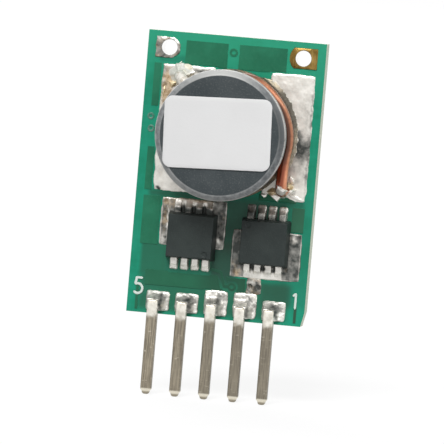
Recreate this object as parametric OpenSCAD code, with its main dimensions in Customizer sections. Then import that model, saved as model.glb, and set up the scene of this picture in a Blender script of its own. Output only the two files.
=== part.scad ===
// A plug-in dc-dc converter: an upright board on five in-line pins, with a wire-wound drum core and two
// power transistors on its front, and the controller, capacitors and resistors on its back.
// Millimetres. Z is up, the front looks along -Y, and the origin is on the middle pin's axis at the
// height of the board's lower edge.

/* [Board] */
// Thickness of the laminate
board_t = 1.2; // [0.8:0.1:2.0]
// Bare strip between the left edge and the coil's left land
left_margin = 1.0; // [0.9:0.05:1.6]
// Bare strip between the right edge and the lands beside it
right_margin = 0.5; // [0.3:0.05:1.0]
// Bare strip below the pin lands
lower_margin = 0.2; // [0.1:0.05:0.6]
// Bare strip above the hole lands
top_margin = 0.35; // [0.2:0.05:0.8]
// Width of the slanting cut at the lower right corner
corner_cut_w = 0.2; // [0.05:0.05:0.4]
// Height of the slanting cut at the lower right corner
corner_cut_h = 0.9; // [0.3:0.1:1.5]
// Thickness of the copper under the green mask
pour_t = 0.04; // [0.02:0.01:0.05]
// Thickness of a tinned land
land_t = 0.07; // [0.06:0.01:0.12]
// Bare ring between a land and the copper under the mask
mask_gap = 0.07; // [0.04:0.01:0.15]
// Distance from the board's side edges to the copper under the mask
pour_inset = 0.5; // [0.3:0.05:0.7]
// Gap between the two pours along the top edge
pour_split = 0.7; // [0.6:0.05:1]
// Height of the two pours beside the left coil land
side_pour_h = 2.6; // [1:0.1:3]

/* [Plated holes] */
// Finished diameter of the two holes at the top
hole_d = 1.0; // [0.6:0.05:1.3]
// Distance from the board's side edge to a hole's axis
hole_inset = 1.35; // [1.2:0.05:1.8]
// Land above and below a hole
hole_ring = 0.13; // [0.08:0.01:0.25]
// Land between a hole and the board's side edge
hole_land_out = 0.35; // [0.15:0.05:0.45]
// Land on the inner side of the left hole
left_hole_land_in = 0.15; // [0.1:0.05:0.5]
// Land on the inner side of the right hole
right_hole_land_in = 0.35; // [0.1:0.05:0.5]
// Gap between the coil's flange and the hole lands
hole_gap = 0.36; // [0.1:0.02:0.6]

/* [Pins] */
// Spacing of the five pins
pin_pitch = 1.78; // [1.6:0.02:2.2]
// Side of a square pin
pin_w = 0.64; // [0.4:0.02:0.7]
// Length of a pin below the board
pin_below = 4.9; // [3:0.1:8]
// Length of a pin on its land
pin_lap = 0.9; // [0.6:0.05:1.1]
// Length of the tip below the pin's shoulder
pin_tip_l = 0.33; // [0.1:0.01:0.8]
// Width of the sloping shoulder around the tip
pin_shoulder = 0.1; // [0.04:0.01:0.12]
// Side of the flat at the tip
pin_tip_w = 0.3; // [0.06:0.02:0.36]
// Bevel around the pin's head
pin_bevel = 0.08; // [0.02:0.01:0.15]
// Distance by which the lands stand to the right of their pins
pin_offset = 0.22; // [0:0.01:0.3]
// Gap between neighbouring pin lands
pin_land_gap = 0.36; // [0.25:0.01:0.45]
// Height of the lands of pins 1, 4 and 5
pin_land_h = 1.2; // [1.2:0.05:1.5]
// Height of the lands of pins 2 and 3
pin_land_tall = 1.54; // [1.5:0.02:2]
// Height of the solder beside a pin
pin_solder_h = 0.46; // [0.2:0.02:0.6]
// Length over which the solder falls away at the lower end of a pin's land
pin_solder_toe = 0.3; // [0.1:0.05:0.5]

/* [Coil] */
// Diameter of the drum core's flanges
flange_d = 7.9; // [7:0.1:10]
// Thickness of the flange on the board
lower_flange_t = 0.9; // [0.7:0.05:1.5]
// Thickness of the outer flange
upper_flange_t = 1.0; // [0.7:0.05:1.5]
// Rounding of the outer flange's rim
rim_r = 0.3; // [0.1:0.05:0.5]
// Bevel on the core's other edges
core_bevel = 0.08; // [0.03:0.01:0.2]
// Diameter of the wire
wire_d = 0.7; // [0.5:0.05:0.9]
// Space around each turn of wire
wire_gap = 0.04; // [0.02:0.01:0.1]
// Wires above each other between the flanges
wire_rows = 3; // [2:1:5]
// Distance by which the outer lead stands out past the flanges
lead_proud = 0.2; // [0:0.01:0.3]
// Gap between a wire end and the lower flange
leg_gap = 0.28; // [0.05:0.01:0.4]
// Reach of the left land past the flange
left_coil_reach = 0.45; // [0.3:0.05:1.2]
// Reach of the right land past the flange
right_coil_reach = 1.05; // [0.3:0.05:1.2]
// Width of the left coil land
left_coil_land_w = 3.3; // [2:0.1:4]
// Width of the right coil land
right_coil_land_w = 2.75; // [2:0.05:4]
// Length by which each end of a coil land is shorter than the flange
coil_land_short = 0.1; // [0:0.05:0.5]
// Distance by which the coil lands sit above the core's axis
coil_land_up = 0.1; // [0:0.05:0.3]
// Gap between the flange and the transistors' lands
coil_gap = 0.16; // [0.1:0.02:0.6]
// Radius of the solder at a wire end
blob_r = 0.7; // [0.5:0.02:0.8]
// Height of the solder at a wire end
blob_h = 0.5; // [0.3:0.02:0.6]

/* [Coil label] */
// Width of the blank label
label_w = 6.5; // [4:0.1:7]
// Height of the blank label
label_h = 4.3; // [2:0.05:5]
// Radius of the label's corners
label_r = 0.5; // [0.1:0.05:1]
// Thickness of the label
label_t = 0.1; // [0.05:0.01:0.2]
// Distance by which the label sits left of the core's axis
label_left = 0.12; // [0:0.02:0.4]
// Distance by which the label sits above the core's axis
label_up = 0.12; // [0:0.02:0.4]
// Turn of the label, anticlockwise
label_turn = 2.3; // [-5:0.1:5]

/* [Transistors] */
// Width of a transistor's body
transistor_w = 3.0; // [2.6:0.05:3.2]
// Height of a transistor's body along the board
transistor_h = 2.85; // [2.4:0.05:3.4]
// Thickness of a transistor's body
transistor_t = 1.0; // [0.7:0.05:1.5]
// Draft of the body's sides over its thickness
transistor_draft = 0.07; // [0:0.01:0.15]
// Spacing of the leads
lead_pitch = 0.65; // [0.55:0.01:0.75]
// Width of a lead
lead_w = 0.36; // [0.2:0.02:0.4]
// Thickness of a lead
lead_t = 0.22; // [0.1:0.02:0.3]
// Reach of a lead past the body
lead_reach = 0.32; // [0.1:0.02:0.4]
// Length of a lead inside the body
lead_root = 0.4; // [0.2:0.05:0.6]
// Width of the land under a lead
lead_land_w = 0.48; // [0.42:0.01:0.52]
// Reach of the lead lands past the body
lead_land_reach = 0.82; // [0.6:0.02:1.2]
// Reach of a drain land past the body's sides
drain_side = 0.52; // [0.3:0.02:0.7]
// Reach of the right drain land past the body's outer side
drain_side_wide = 0.75; // [0.4:0.05:1]
// Gap between the two drain lands
drain_gap = 0.45; // [0.3:0.05:0.7]
// Reach of a drain land past the body's middle
drain_past = 0.7; // [0.3:0.05:1]
// Height of the plain strip between the pin lands and the transistors' lands
pin_gap = 0.92; // [0.7:0.02:1.6]
// Width of the neck between the right drain land and the land of pin 2
neck_w = 0.9; // [0.6:0.05:1]
// Bore of the small vias
via_d = 0.24; // [0.15:0.01:0.3]
// Ring around a via
via_ring = 0.13; // [0.08:0.01:0.2]
// Width of the gate track
track_w = 0.16; // [0.1:0.01:0.25]
// Diameter of the dimple by a part's first lead
dimple_d = 0.36; // [0.2:0.02:0.5]
// Depth of that dimple
dimple_depth = 0.05; // [0.02:0.01:0.1]

/* [Back parts] */
// Width and height of the controller
controller_w = 3.0; // [2.5:0.1:4]
// Thickness of the controller
controller_t = 0.85; // [0.6:0.05:1.2]
// Spacing of the controller's terminals
terminal_pitch = 0.5; // [0.4:0.01:0.55]
// Width of a terminal
terminal_w = 0.25; // [0.15:0.01:0.3]
// Length of a terminal under the controller
terminal_l = 0.4; // [0.25:0.05:0.6]
// Height of a terminal on the controller's side
terminal_h = 0.2; // [0.1:0.02:0.3]
// Length of the large capacitors
bulk_l = 3.2; // [2.4:0.1:3.6]
// Width of the input capacitors
input_w = 1.6; // [1.2:0.1:2]
// Thickness of the input capacitors
input_t = 1.4; // [0.8:0.1:1.8]
// Width of the output capacitors
output_w = 2.5; // [1.6:0.1:3]
// Thickness of the output capacitors
output_t = 1.8; // [0.8:0.1:2.2]
// Length of the metal ends of the large capacitors
bulk_end = 0.5; // [0.3:0.05:0.7]
// Length of the small chips
chip_l = 1.6; // [1.2:0.1:2]
// Width of the small chips
chip_w = 0.8; // [0.6:0.05:1]
// Thickness of the small capacitors
chip_t = 0.8; // [0.5:0.05:1]
// Thickness of the resistors
resistor_t = 0.45; // [0.3:0.05:0.6]
// Length of the metal ends of the small chips
chip_end = 0.3; // [0.2:0.02:0.4]
// Thickness of a chip's metal ends
end_t = 0.03; // [0.02:0.01:0.06]
// Length of the solder beyond a chip's end
chip_toe = 0.3; // [0.15:0.05:0.5]
// Gap between neighbouring rows of parts on the back
row_gap = 0.5; // [0.3:0.05:0.8]
// Gap between neighbouring small chips
chip_gap = 0.8; // [0.4:0.05:1]
// Strip left free below the lowest parts on the back
back_base = 1.1; // [0.6:0.1:2]

/* [Hidden] */
$fn = 48;

// Which pins have the taller lands
tall_pins = "23";
pin_count = 5;
lead_count = 4;
terminal_count = 5;

RESISTORS = ["feedback_resistor", "bias_resistor", "sense_resistor", "timing_resistor"];
CHIP_CAPACITORS = ["bypass_capacitor", "boost_capacitor", "feedback_capacitor", "filter_capacitor"];
SIDES = ["left", "right"];

// Thickness of the solder's outer edge
solder_lip = 0.03;
// Facets of a solder fillet's hollow
fillet_steps = 6;

// Across the board, from the middle pin's axis
board_x = pin_offset;
board_w = left_margin + left_coil_reach + flange_d + right_coil_reach + right_margin;
board_left = board_x - board_w / 2;
board_right = board_x + board_w / 2;
coil_x = board_left + left_margin + left_coil_reach + flange_d / 2;
right_transistor_x = board_right - right_margin - drain_side_wide - transistor_w / 2;
left_transistor_x = right_transistor_x - transistor_w - 2 * drain_side - drain_gap;
pin_land_w = pin_pitch - pin_land_gap;
function pin_x(i) = ((pin_count + 1) / 2 - i) * pin_pitch;
function land_x(i) = pin_x(i) + pin_offset;
function is_tall(i) = len(search(str(i), tall_pins)) > 0;
function hole_x(side) = side == "left" ? board_left + hole_inset : board_right - hole_inset;
function transistor_x(side) = side == "left" ? left_transistor_x : right_transistor_x;

// Up the board, from its lower edge
function pin_land_top(i) = lower_margin + (is_tall(i) ? pin_land_tall : pin_land_h);
pin_zone_top = lower_margin + max(pin_land_h, pin_land_tall);
transistor_zone_h = transistor_h + 2 * lead_land_reach;
transistor_zone_z = pin_zone_top + pin_gap;
transistor_z = transistor_zone_z + transistor_zone_h / 2;
transistor_zone_top = transistor_zone_z + transistor_zone_h;
coil_z = transistor_zone_top + coil_gap + flange_d / 2;
coil_land_h = flange_d - 2 * coil_land_short;
coil_land_top = coil_z + coil_land_up + coil_land_h / 2;
coil_land_low = coil_land_top - coil_land_h;
hole_land_h = hole_d + 2 * hole_ring;
hole_z = coil_z + flange_d / 2 + hole_gap + hole_land_h / 2;
board_h = hole_z + hole_land_h / 2 + top_margin;

// Through the board: the pins lie flat on their lands
front_y = pin_w / 2 + land_t;
back_y = front_y + board_t;

// The coil's heights above the board's front
wire_r = wire_d / 2;
spool_floor = land_t + lower_flange_t;
spool_h = wire_rows * (wire_d + wire_gap) + wire_gap;
spool_top = spool_floor + spool_h;
core_top = spool_top + upper_flange_t;

// The winding's course: it starts straight in over the lower flange, its turns lie inside the outer lead, and
// both ends go down outside the flange
coil_start = 134;
coil_end = -35;
entry_arc = 20;
exit_arc = 50;
drop_arc = 70;
out_arc = 24;
helix_arc = coil_start - entry_arc - (coil_end + out_arc + drop_arc + exit_arc) + 360 * (wire_rows - 1);
coil_arc = entry_arc + helix_arc + exit_arc + drop_arc + out_arc;
lead_r = flange_d / 2 + lead_proud - wire_r;
turn_r = lead_r - wire_d - wire_gap;
leg_r = flange_d / 2 + leg_gap + wire_r;
post_r = turn_r - wire_r - wire_gap;
turn_low = spool_floor + wire_gap + wire_r;
turn_high = spool_top - wire_gap - wire_r;
bend_r = wire_d * 0.9;
// The outer lead swings out from the coil's tangent, and goes straight on as it bends down
end_r = leg_r - wire_r / 2;
swing = atan(2 * (end_r - lead_r) / out_arc / (end_r * PI / 180));
end_way = around(1, coil_end - 90 + swing, 0);
leg_at = [around(leg_r, coil_start, 0), around(end_r, coil_end, 0) + bend_r * end_way];

// The back's rows, from the lower edge up
input_z = back_base + input_w / 2;
resistor_z = input_z + input_w / 2 + row_gap + chip_toe + chip_l / 2;
controller_z = resistor_z + chip_l / 2 + chip_toe + row_gap + controller_w / 2;
output_z = controller_z + controller_w / 2 + row_gap + output_w / 2;
filter_z = output_z + output_w / 2 + row_gap + chip_w / 2;
bulk_u = bulk_l / 2 + chip_toe + row_gap / 2;
resistor_u = chip_w + chip_gap;
bypass_u = controller_w / 2 + chip_toe + chip_gap + chip_w / 2;
filter_u = chip_l / 2 + chip_toe + row_gap;

// Colours of the finishes
LAMINATE = [0.13, 0.56, 0.43];
MASKED_COPPER = [0.18, 0.43, 0.33];
TIN = [0.80, 0.79, 0.76];
BARE_COPPER = [0.65, 0.46, 0.24];
PIN_TIN = [0.58, 0.54, 0.48];
FERRITE = [0.29, 0.31, 0.33];
WIRE = [0.78, 0.46, 0.30];
PAPER = [0.88, 0.88, 0.88];
MOULDING = [0.17, 0.20, 0.19];
CERAMIC = [0.62, 0.50, 0.38];
FILM = [0.10, 0.10, 0.11];

// Frames of the two faces: x across, y up the board, z out of the face

module on_front() translate([0, front_y, 0]) rotate([90, 0, 0]) children();

module on_back() translate([board_x, back_y, 0]) rotate([90, 0, 180]) children();

// Outlines and small shapes that repeat

// A list from its end to its start
function backwards(list) = [for (k = [len(list) - 1:-1:0]) list[k]];

// A rectangle between two corners, widened all round
module area(x0, y0, x1, y1, grow = 0)
    translate([x0 - grow, y0 - grow]) square([x1 - x0 + 2 * grow, y1 - y0 + 2 * grow]);

// A rectangle with round corners
module rounded(w, h, r) {
    square([w - 2 * r, h], center = true);
    square([w, h - 2 * r], center = true);
    for (x = [-1, 1], y = [-1, 1]) translate([x * (w / 2 - r), y * (h / 2 - r)]) circle(r);
}

// A straight track with round ends
module track(a, b, w) {
    d = b - a;
    translate(a) rotate(atan2(d[1], d[0])) translate([0, -w / 2]) square([norm(d), w]);
    for (p = [a, b]) translate(p) circle(d = w);
}

// A shape that has one outline from the front and another from the side
module crossed(w, d) {
    intersection() {
        translate([0, d / 2, 0]) rotate([90, 0, 0]) linear_extrude(d) children(0);
        translate([-w / 2, 0, 0]) rotate([90, 0, 90]) linear_extrude(w) children(1);
    }
}

// The hollow of a solder fillet that falls from height h at x = 0 to the lip at x = run
function hollow(run, h) = [for (k = [0:fillet_steps])
    let (a = 90 - 90 * k / fillet_steps)
    [run * (1 - sin(a)), solder_lip + (h - solder_lip) * (1 - cos(a))]];

// A fillet's section: the hollow with the wall and the floor that it fills
module fillet(run, h) polygon(concat([[0, 0]], hollow(run, h), [[run, 0]]));

// A mound's section: level between in0 and in1, hollow down to out0 and out1
module mound(out0, in0, in1, out1, h) {
    translate([in1, 0]) fillet(out1 - in1, h);
    translate([in0, 0]) mirror([1, 0]) fillet(in0 - out0, h);
    translate([in0, 0]) square([in1 - in0, h]);
}

// Board, copper and lands

module circuit_board() color(LAMINATE) on_front() translate([0, 0, -board_t]) linear_extrude(board_t)
    difference() {
        polygon([
            [board_left, 0], [board_right - corner_cut_w, 0], [board_right, corner_cut_h],
            [board_right, board_h], [board_left, board_h]
        ]);
        for (s = SIDES) translate([hole_x(s), hole_z]) circle(d = hole_d);
    }

// A hole's land: straight towards the board's side edge, round on its inner side
module hole_land(side, grow = 0) {
    inner = hole_d / 2 + (side == "left" ? left_hole_land_in : right_hole_land_in) + grow;
    outer = hole_d / 2 + hole_land_out + grow;
    half_h = hole_land_h / 2 + grow;
    translate([hole_x(side), hole_z]) mirror([side == "left" ? 0 : 1, 0]) {
        area(-outer, -half_h, 0, half_h);
        intersection() {
            circle(inner);
            area(0, -half_h, inner, half_h);
        }
    }
}

// One land on each face, with the hole through both
module hole_lands(side) color(side == "left" ? TIN : BARE_COPPER) on_front()
    for (z = [0, -board_t - land_t]) translate([0, 0, z]) linear_extrude(land_t) difference() {
        hole_land(side);
        translate([hole_x(side), hole_z]) circle(d = hole_d);
    }

module pin_land(i, grow = 0)
    area(land_x(i) - pin_land_w / 2, lower_margin, land_x(i) + pin_land_w / 2, pin_land_top(i), grow);

// The coil's lands lie under its left and right sides
module coil_land(side, grow = 0) {
    left = coil_x - flange_d / 2 - left_coil_reach;
    right = coil_x + flange_d / 2 + right_coil_reach;
    if (side == "left") area(left, coil_land_low, left + left_coil_land_w, coil_land_top, grow);
    else area(right - right_coil_land_w, coil_land_low, right, coil_land_top, grow);
}

// The left transistor is turned half round, so that its drain looks up
module at_transistor(side)
    translate([transistor_x(side), transistor_z]) rotate(side == "left" ? 180 : 0) children();

function lead_x(k) = (k - (lead_count - 1) / 2) * lead_pitch;

module drain_land(side, grow = 0) {
    outer = side == "right" ? drain_side_wide : drain_side;
    half_w = transistor_w / 2;
    at_transistor(side) area(-half_w - drain_side, -transistor_zone_h / 2, half_w + outer, drain_past, grow);
}

module lead_lands(side, grow = 0) at_transistor(side) for (k = [0:lead_count - 1])
    area(lead_x(k) - lead_land_w / 2, transistor_h / 2 - lead_root, lead_x(k) + lead_land_w / 2,
        transistor_zone_h / 2, grow);

// The neck joins the right drain land to the land of pin 2
neck_right = land_x(2) + pin_land_w / 2 + pin_land_gap / 2;
neck_via_z = (pin_zone_top + transistor_zone_z) / 2;

module neck(grow = 0) difference() {
    area(neck_right - neck_w, pin_land_top(2), neck_right, transistor_zone_z, grow);
    for (x = [-1, 1]) translate([neck_right - neck_w / 2 + x * neck_w / 4, neck_via_z]) circle(d = via_d);
}

module front_land_areas(grow = 0) {
    for (i = [1:pin_count]) pin_land(i, grow);
    for (s = SIDES) {
        coil_land(s, grow);
        drain_land(s, grow);
        lead_lands(s, grow);
    }
    neck(grow);
}

module front_lands() color(TIN) on_front() linear_extrude(land_t) front_land_areas();

// The copper that shows through the mask lines up with the lands beside it
split_x = (hole_x("left") + hole_x("right")) / 2 - pour_split / 4;
pour_top = board_h - top_margin - hole_ring;
via_front = [[split_x, hole_z], [(land_x(3) + land_x(2)) / 2, pin_zone_top + pin_gap / 3]];
gate_start = [left_transistor_x + lead_x(lead_count - 1), transistor_zone_z + lead_land_reach / 2];
gate_bend = [gate_start[0] + lead_pitch * 1.5, gate_start[1] - lead_land_reach / 4];
gate_points = [gate_start, gate_bend, via_front[1] + [-2 * via_d, 0], via_front[1]];

module front_pours() {
    coil_left = board_left + left_margin;
    drain_left = left_transistor_x - transistor_w / 2 - drain_side;
    drain_right = right_transistor_x + transistor_w / 2 + drain_side_wide;
    area(hole_x("left") + hole_d, coil_land_top, split_x - pour_split / 2, pour_top);
    area(split_x + pour_split / 2, coil_land_top, hole_x("right") - hole_d, pour_top);
    for (z = [coil_land_low, coil_land_top - side_pour_h])
        area(board_left + pour_inset, z, coil_left, z + side_pour_h);
    area(board_left + pour_inset, transistor_z - drain_past, drain_left, transistor_zone_top);
    area(right_transistor_x + transistor_w / 2, transistor_z + drain_past, drain_right, transistor_zone_top);
    area(coil_left, pin_zone_top, neck_right - neck_w, transistor_zone_z);
    area(board_left + pour_inset, lower_margin, board_left + pour_inset + track_w, pin_zone_top);
    area(drain_right - track_w, lower_margin, drain_right, pin_land_h);
}

module gate_track() for (k = [0:len(gate_points) - 2]) track(gate_points[k], gate_points[k + 1], track_w);

module via_rings() for (p = via_front) translate(p) circle(via_d / 2 + via_ring);

module front_copper() color(MASKED_COPPER) on_front() linear_extrude(pour_t) difference() {
    union() {
        difference() {
            front_pours();
            for (p = via_front) translate(p) circle(via_d / 2 + 2 * via_ring);
            for (k = [0:len(gate_points) - 2]) track(gate_points[k], gate_points[k + 1], 3 * track_w);
        }
        gate_track();
        via_rings();
    }
    for (p = via_front) translate(p) circle(d = via_d);
    front_land_areas(mask_gap);
    for (s = SIDES) hole_land(s, mask_gap);
}

// Pins and their solder

// One side of a pin's outline, from its tip up to its head
function pin_side(sign) = [
    [sign * pin_tip_w / 2, -pin_below],
    [sign * (pin_w / 2 - pin_shoulder), pin_tip_l - pin_shoulder - pin_below],
    [sign * pin_w / 2, pin_tip_l - pin_below],
    [sign * pin_w / 2, pin_lap - pin_bevel],
    [sign * (pin_w / 2 - pin_bevel), pin_lap]
];

module pin_front() polygon(concat(pin_side(1), backwards(pin_side(-1))));

module pin(i) color(PIN_TIN) translate([pin_x(i), 0, 0]) crossed(pin_w, pin_w) {
    pin_front();
    pin_front();
}

// Solder rises beside the pin and over its head, and is hollow down to the land's edges
module pin_solder(i) color(TIN) on_front() translate([pin_x(i), 0, land_t]) difference() {
    land_left = pin_offset - pin_land_w / 2;
    land_right = pin_offset + pin_land_w / 2;
    top = pin_land_top(i);
    intersection() {
        translate([0, top, 0]) rotate([90, 0, 0]) linear_extrude(top - lower_margin)
            mound(land_left, -pin_w / 2, pin_w / 2, land_right, pin_solder_h);
        translate([land_left, 0, 0]) rotate([90, 0, 90]) linear_extrude(pin_land_w)
            mound(lower_margin, lower_margin + pin_solder_toe, pin_lap, top, pin_solder_h);
    }
    translate([-pin_w / 2, 0, 0]) cube([pin_w, pin_lap, pin_w]);
}

// Coil

// The core's section: two flanges on a post, with the outer flange's rim rounded
module core_section() {
    r = flange_d / 2;
    c = core_bevel;
    polygon(concat(
        [[0, land_t], [r - c, land_t], [r, land_t + c], [r, spool_floor - c], [r - c, spool_floor]],
        [[post_r, spool_floor], [post_r, spool_top]],
        [[r - c, spool_top], [r, spool_top + c]],
        [for (a = [0:15:90]) [r - rim_r + rim_r * cos(a), core_top - rim_r + rim_r * sin(a)]],
        [[0, core_top]]
    ));
}

module coil_core() color(FERRITE) on_front() translate([coil_x, coil_z, 0])
    rotate_extrude($fn = 96) core_section();

function mix(a, b, t) = a + (b - a) * t;
function ease(t) = t * t * (3 - 2 * t);
function around(r, angle, h) = [r * cos(angle), r * sin(angle), h];

// The wire's distance from the axis after turning by an arc
function turn_radius(arc) =
    let (after_helix = arc - entry_arc - helix_arc, after_drop = after_helix - exit_arc - drop_arc)
    after_helix < 0 ? turn_r :
    after_helix < exit_arc ? mix(turn_r, lead_r, ease(after_helix / exit_arc)) :
    after_drop < 0 ? lead_r : mix(lead_r, end_r, pow(after_drop / out_arc, 2));

// The wire's height after turning by an arc: up the turns, then down the outer lead
function turn_height(arc) =
    let (after_helix = arc - entry_arc - helix_arc, after_exit = after_helix - exit_arc)
    after_helix < 0 ? mix(turn_low, turn_high, (arc - entry_arc) / helix_arc) :
    after_exit < 0 ? turn_high :
    after_exit < drop_arc ? mix(turn_high, turn_low, ease(after_exit / drop_arc)) : turn_low;

// The wire's start: up from the land, a quarter bend in over the flange, and a quarter turn into the coil
wire_step = 10;
bend_steps = 6;
quarter = [for (k = [0:bend_steps - 1]) 90 * k / bend_steps];
start_reach = leg_r - bend_r - turn_r;
wire_start = concat(
    [around(leg_r, coil_start, land_t)],
    [for (a = quarter) around(leg_r - bend_r * (1 - cos(a)), coil_start, turn_low - bend_r * (1 - sin(a)))],
    [for (a = quarter)
        around(turn_r + start_reach * (1 - sin(a)), coil_start - entry_arc * (1 - cos(a)), turn_low)]
);

// The wire's end: a quarter bend from its level run, and a leg down to the land
wire_end = concat(
    [for (a = quarter) around(end_r, coil_end, turn_low - bend_r * (1 - cos(a))) + bend_r * sin(a) * end_way],
    [for (h = [turn_low - bend_r, land_t]) leg_at[1] + [0, 0, h]]
);
wire_turns = ceil((coil_arc - entry_arc) / wire_step);
wire_path = concat(
    wire_start,
    [for (k = [0:wire_turns - 1]) let (arc = mix(entry_arc, coil_arc, k / wire_turns))
        around(turn_radius(arc), coil_start - arc, turn_height(arc))],
    wire_end
);

// A round rod swept along points, with each ring square to the path. A ring's first corner lies the way given
// at the start, and then as near as it can to that of the ring before it.
rod_sides = 12;
function unit(v) = v / norm(v);
function squared(v, ahead) = unit(v - ahead * (v * ahead));
function heading(path, k) = unit(path[min(k + 1, len(path) - 1)] - path[max(k - 1, 0)]);
function corner_ways(path, first) =
    [for (k = 0, way = squared(first, heading(path, 0)); k < len(path);
        k = k + 1, way = k < len(path) ? squared(way, heading(path, k)) : way) way];
function ring(path, k, u, r) =
    let (v = cross(heading(path, k), u))
    [for (s = [0:rod_sides - 1]) let (a = 360 * s / rod_sides) path[k] + r * (cos(a) * u + sin(a) * v)];

module rod(path, r, first) {
    last = len(path) - 1;
    ways = corner_ways(path, first);
    polyhedron(
        points = [for (k = [0:last]) each ring(path, k, ways[k], r)],
        faces = concat(
            [[for (s = [0:rod_sides - 1]) s]],
            [for (k = [0:last - 1], s = [0:rod_sides - 1])
                let (a = k * rod_sides, t = (s + 1) % rod_sides)
                [a + s, a + rod_sides + s, a + rod_sides + t, a + t]],
            [[for (s = [rod_sides - 1:-1:0]) last * rod_sides + s]]
        )
    );
}

module coil_winding() color(WIRE) on_front() translate([coil_x, coil_z, 0])
    rod(wire_path, wire_r, around(1, coil_start - 90, 0));

// A dome of solder around a wire end, which stays on its land and clear of the core
module coil_solder(side) color(TIN) on_front() translate([0, 0, land_t]) intersection() {
    linear_extrude(blob_h) coil_land(side);
    translate([coil_x, coil_z, 0]) difference() {
        translate(leg_at[side == "left" ? 0 : 1]) rotate_extrude() intersection() {
            translate([wire_r, 0]) fillet(blob_r - wire_r, blob_h);
            square([blob_r, blob_h]);
        }
        cylinder(d = flange_d + leg_gap, h = spool_floor, $fn = 96);
    }
}

module coil_label() color(PAPER) on_front() translate([coil_x - label_left, coil_z + label_up, core_top])
    rotate(label_turn) linear_extrude(label_t) rounded(label_w, label_h, label_r);

// Transistors

// The four drain leads are one piece with the pad under the chip
module lead_frame() {
    half_h = transistor_h / 2;
    pad_half_w = lead_x(lead_count - 1) + lead_w / 2;
    for (k = [0:lead_count - 1]) translate([lead_x(k), 0]) {
        area(-lead_w / 2, half_h - lead_root, lead_w / 2, half_h + lead_reach);
        area(-lead_w / 2, -half_h - lead_reach, lead_w / 2, 0);
    }
    area(-pad_half_w, -half_h + lead_root / 2, pad_half_w, drain_past / 2);
}

module transistor_leads(side) color(TIN) on_front() at_transistor(side) translate([0, 0, land_t])
    linear_extrude(lead_t) lead_frame();

// A side of the moulded body, which narrows towards its top
module drafted(w) {
    top = w / 2 - transistor_draft;
    polygon([[-w / 2, 0], [w / 2, 0], [top, transistor_t], [-top, transistor_t]]);
}

// The small round dimple stands by the first lead
module dimple() cylinder(d = dimple_d, h = 2 * dimple_depth);

module transistor_body(side) color(MOULDING) on_front() at_transistor(side) translate([0, 0, land_t])
    difference() {
        crossed(transistor_w, transistor_h) {
            drafted(transistor_w);
            drafted(transistor_h);
        }
        linear_extrude(lead_t) lead_frame();
        translate([lead_x(0), transistor_h / 2 - lead_root, transistor_t - dimple_depth]) dimple();
    }

// Solder beyond the lead ends: one fillet on each separate land, one along the drain land
module transistor_solder(side) color(TIN) on_front() at_transistor(side) translate([0, 0, land_t]) {
    toe = lead_land_reach - lead_reach;
    span = lead_land_w + (lead_count - 1) * lead_pitch;
    for (k = [0:lead_count - 1]) translate([lead_x(k) - lead_land_w / 2, transistor_h / 2 + lead_reach, 0])
        rotate([90, 0, 90]) linear_extrude(lead_land_w) fillet(toe, lead_t);
    translate([span / 2, -transistor_h / 2 - lead_reach, 0]) rotate([90, 0, -90])
        linear_extrude(span) fillet(toe, lead_t);
}

// Back parts

// A chip with metal ends lies along x and stands on its lands
module chip_block(l, w, t)
    translate([-l / 2 + end_t, -w / 2 + end_t, end_t]) cube([l - 2 * end_t, w - 2 * end_t, t - 2 * end_t]);

module chip_caps(l, w, t, end_l) difference() {
    for (x = [-l / 2, l / 2 - end_l]) translate([x, -w / 2, 0]) cube([end_l, w, t]);
    chip_block(l, w, t);
}

// Solder wets a chip's end up to two thirds of its height
wetting = 2 / 3;

module chip_fillets(l, w, t) for (m = [0, 1]) mirror([m, 0, 0])
    translate([l / 2, w / 2, 0]) rotate([90, 0, 0]) linear_extrude(w) fillet(chip_toe, t * wetting);

module chip_lands(l, w, end_l, grow = 0) for (m = [0, 1]) mirror([m, 0])
    area(l / 2 - end_l, -w / 2, l / 2 + chip_toe, w / 2, grow);

// Where each chip stands on the back, and which way it lies
function side_sign(side) = side == "left" ? 1 : -1;
function resistor_place(k) = [(k - (len(RESISTORS) - 1) / 2) * resistor_u, resistor_z];
CHIP_PLACES = [
    [[-bypass_u, controller_z], 90], [[bypass_u, controller_z], 90],
    [[-filter_u, filter_z], 0], [[filter_u, filter_z], 0]
];

module at_input(side) translate([side_sign(side) * bulk_u, input_z]) children();

module at_output(side) translate([side_sign(side) * bulk_u, output_z]) children();

module at_resistor(k) translate(resistor_place(k)) rotate(90) children();

module at_chip(k) translate(CHIP_PLACES[k][0]) rotate(CHIP_PLACES[k][1]) children();

module above_back() on_back() translate([0, 0, land_t]) children();

module input_capacitor(side) color(CERAMIC) above_back() at_input(side) chip_block(bulk_l, input_w, input_t);

module input_capacitor_ends(side) color(TIN) above_back() at_input(side)
    chip_caps(bulk_l, input_w, input_t, bulk_end);

module output_capacitor(side) color(CERAMIC) above_back() at_output(side)
    chip_block(bulk_l, output_w, output_t);

module output_capacitor_ends(side) color(TIN) above_back() at_output(side)
    chip_caps(bulk_l, output_w, output_t, bulk_end);

module resistor(k) color(FILM) above_back() at_resistor(k) chip_block(chip_l, chip_w, resistor_t);

module resistor_ends(k) color(TIN) above_back() at_resistor(k)
    chip_caps(chip_l, chip_w, resistor_t, chip_end);

module chip_capacitor(k) color(CERAMIC) above_back() at_chip(k) chip_block(chip_l, chip_w, chip_t);

module chip_capacitor_ends(k) color(TIN) above_back() at_chip(k) chip_caps(chip_l, chip_w, chip_t, chip_end);

// The controller's terminals are flush with its sides, five along the left and five along the right
function terminal_z(k) = controller_z + (k - (terminal_count - 1) / 2) * terminal_pitch;

module at_terminals() for (m = [0, 1], k = [0:terminal_count - 1])
    mirror([m, 0]) translate([controller_w / 2, terminal_z(k)]) children();

module terminal_blocks() at_terminals() translate([-terminal_l, -terminal_w / 2, 0])
    cube([terminal_l, terminal_w, terminal_h]);

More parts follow.
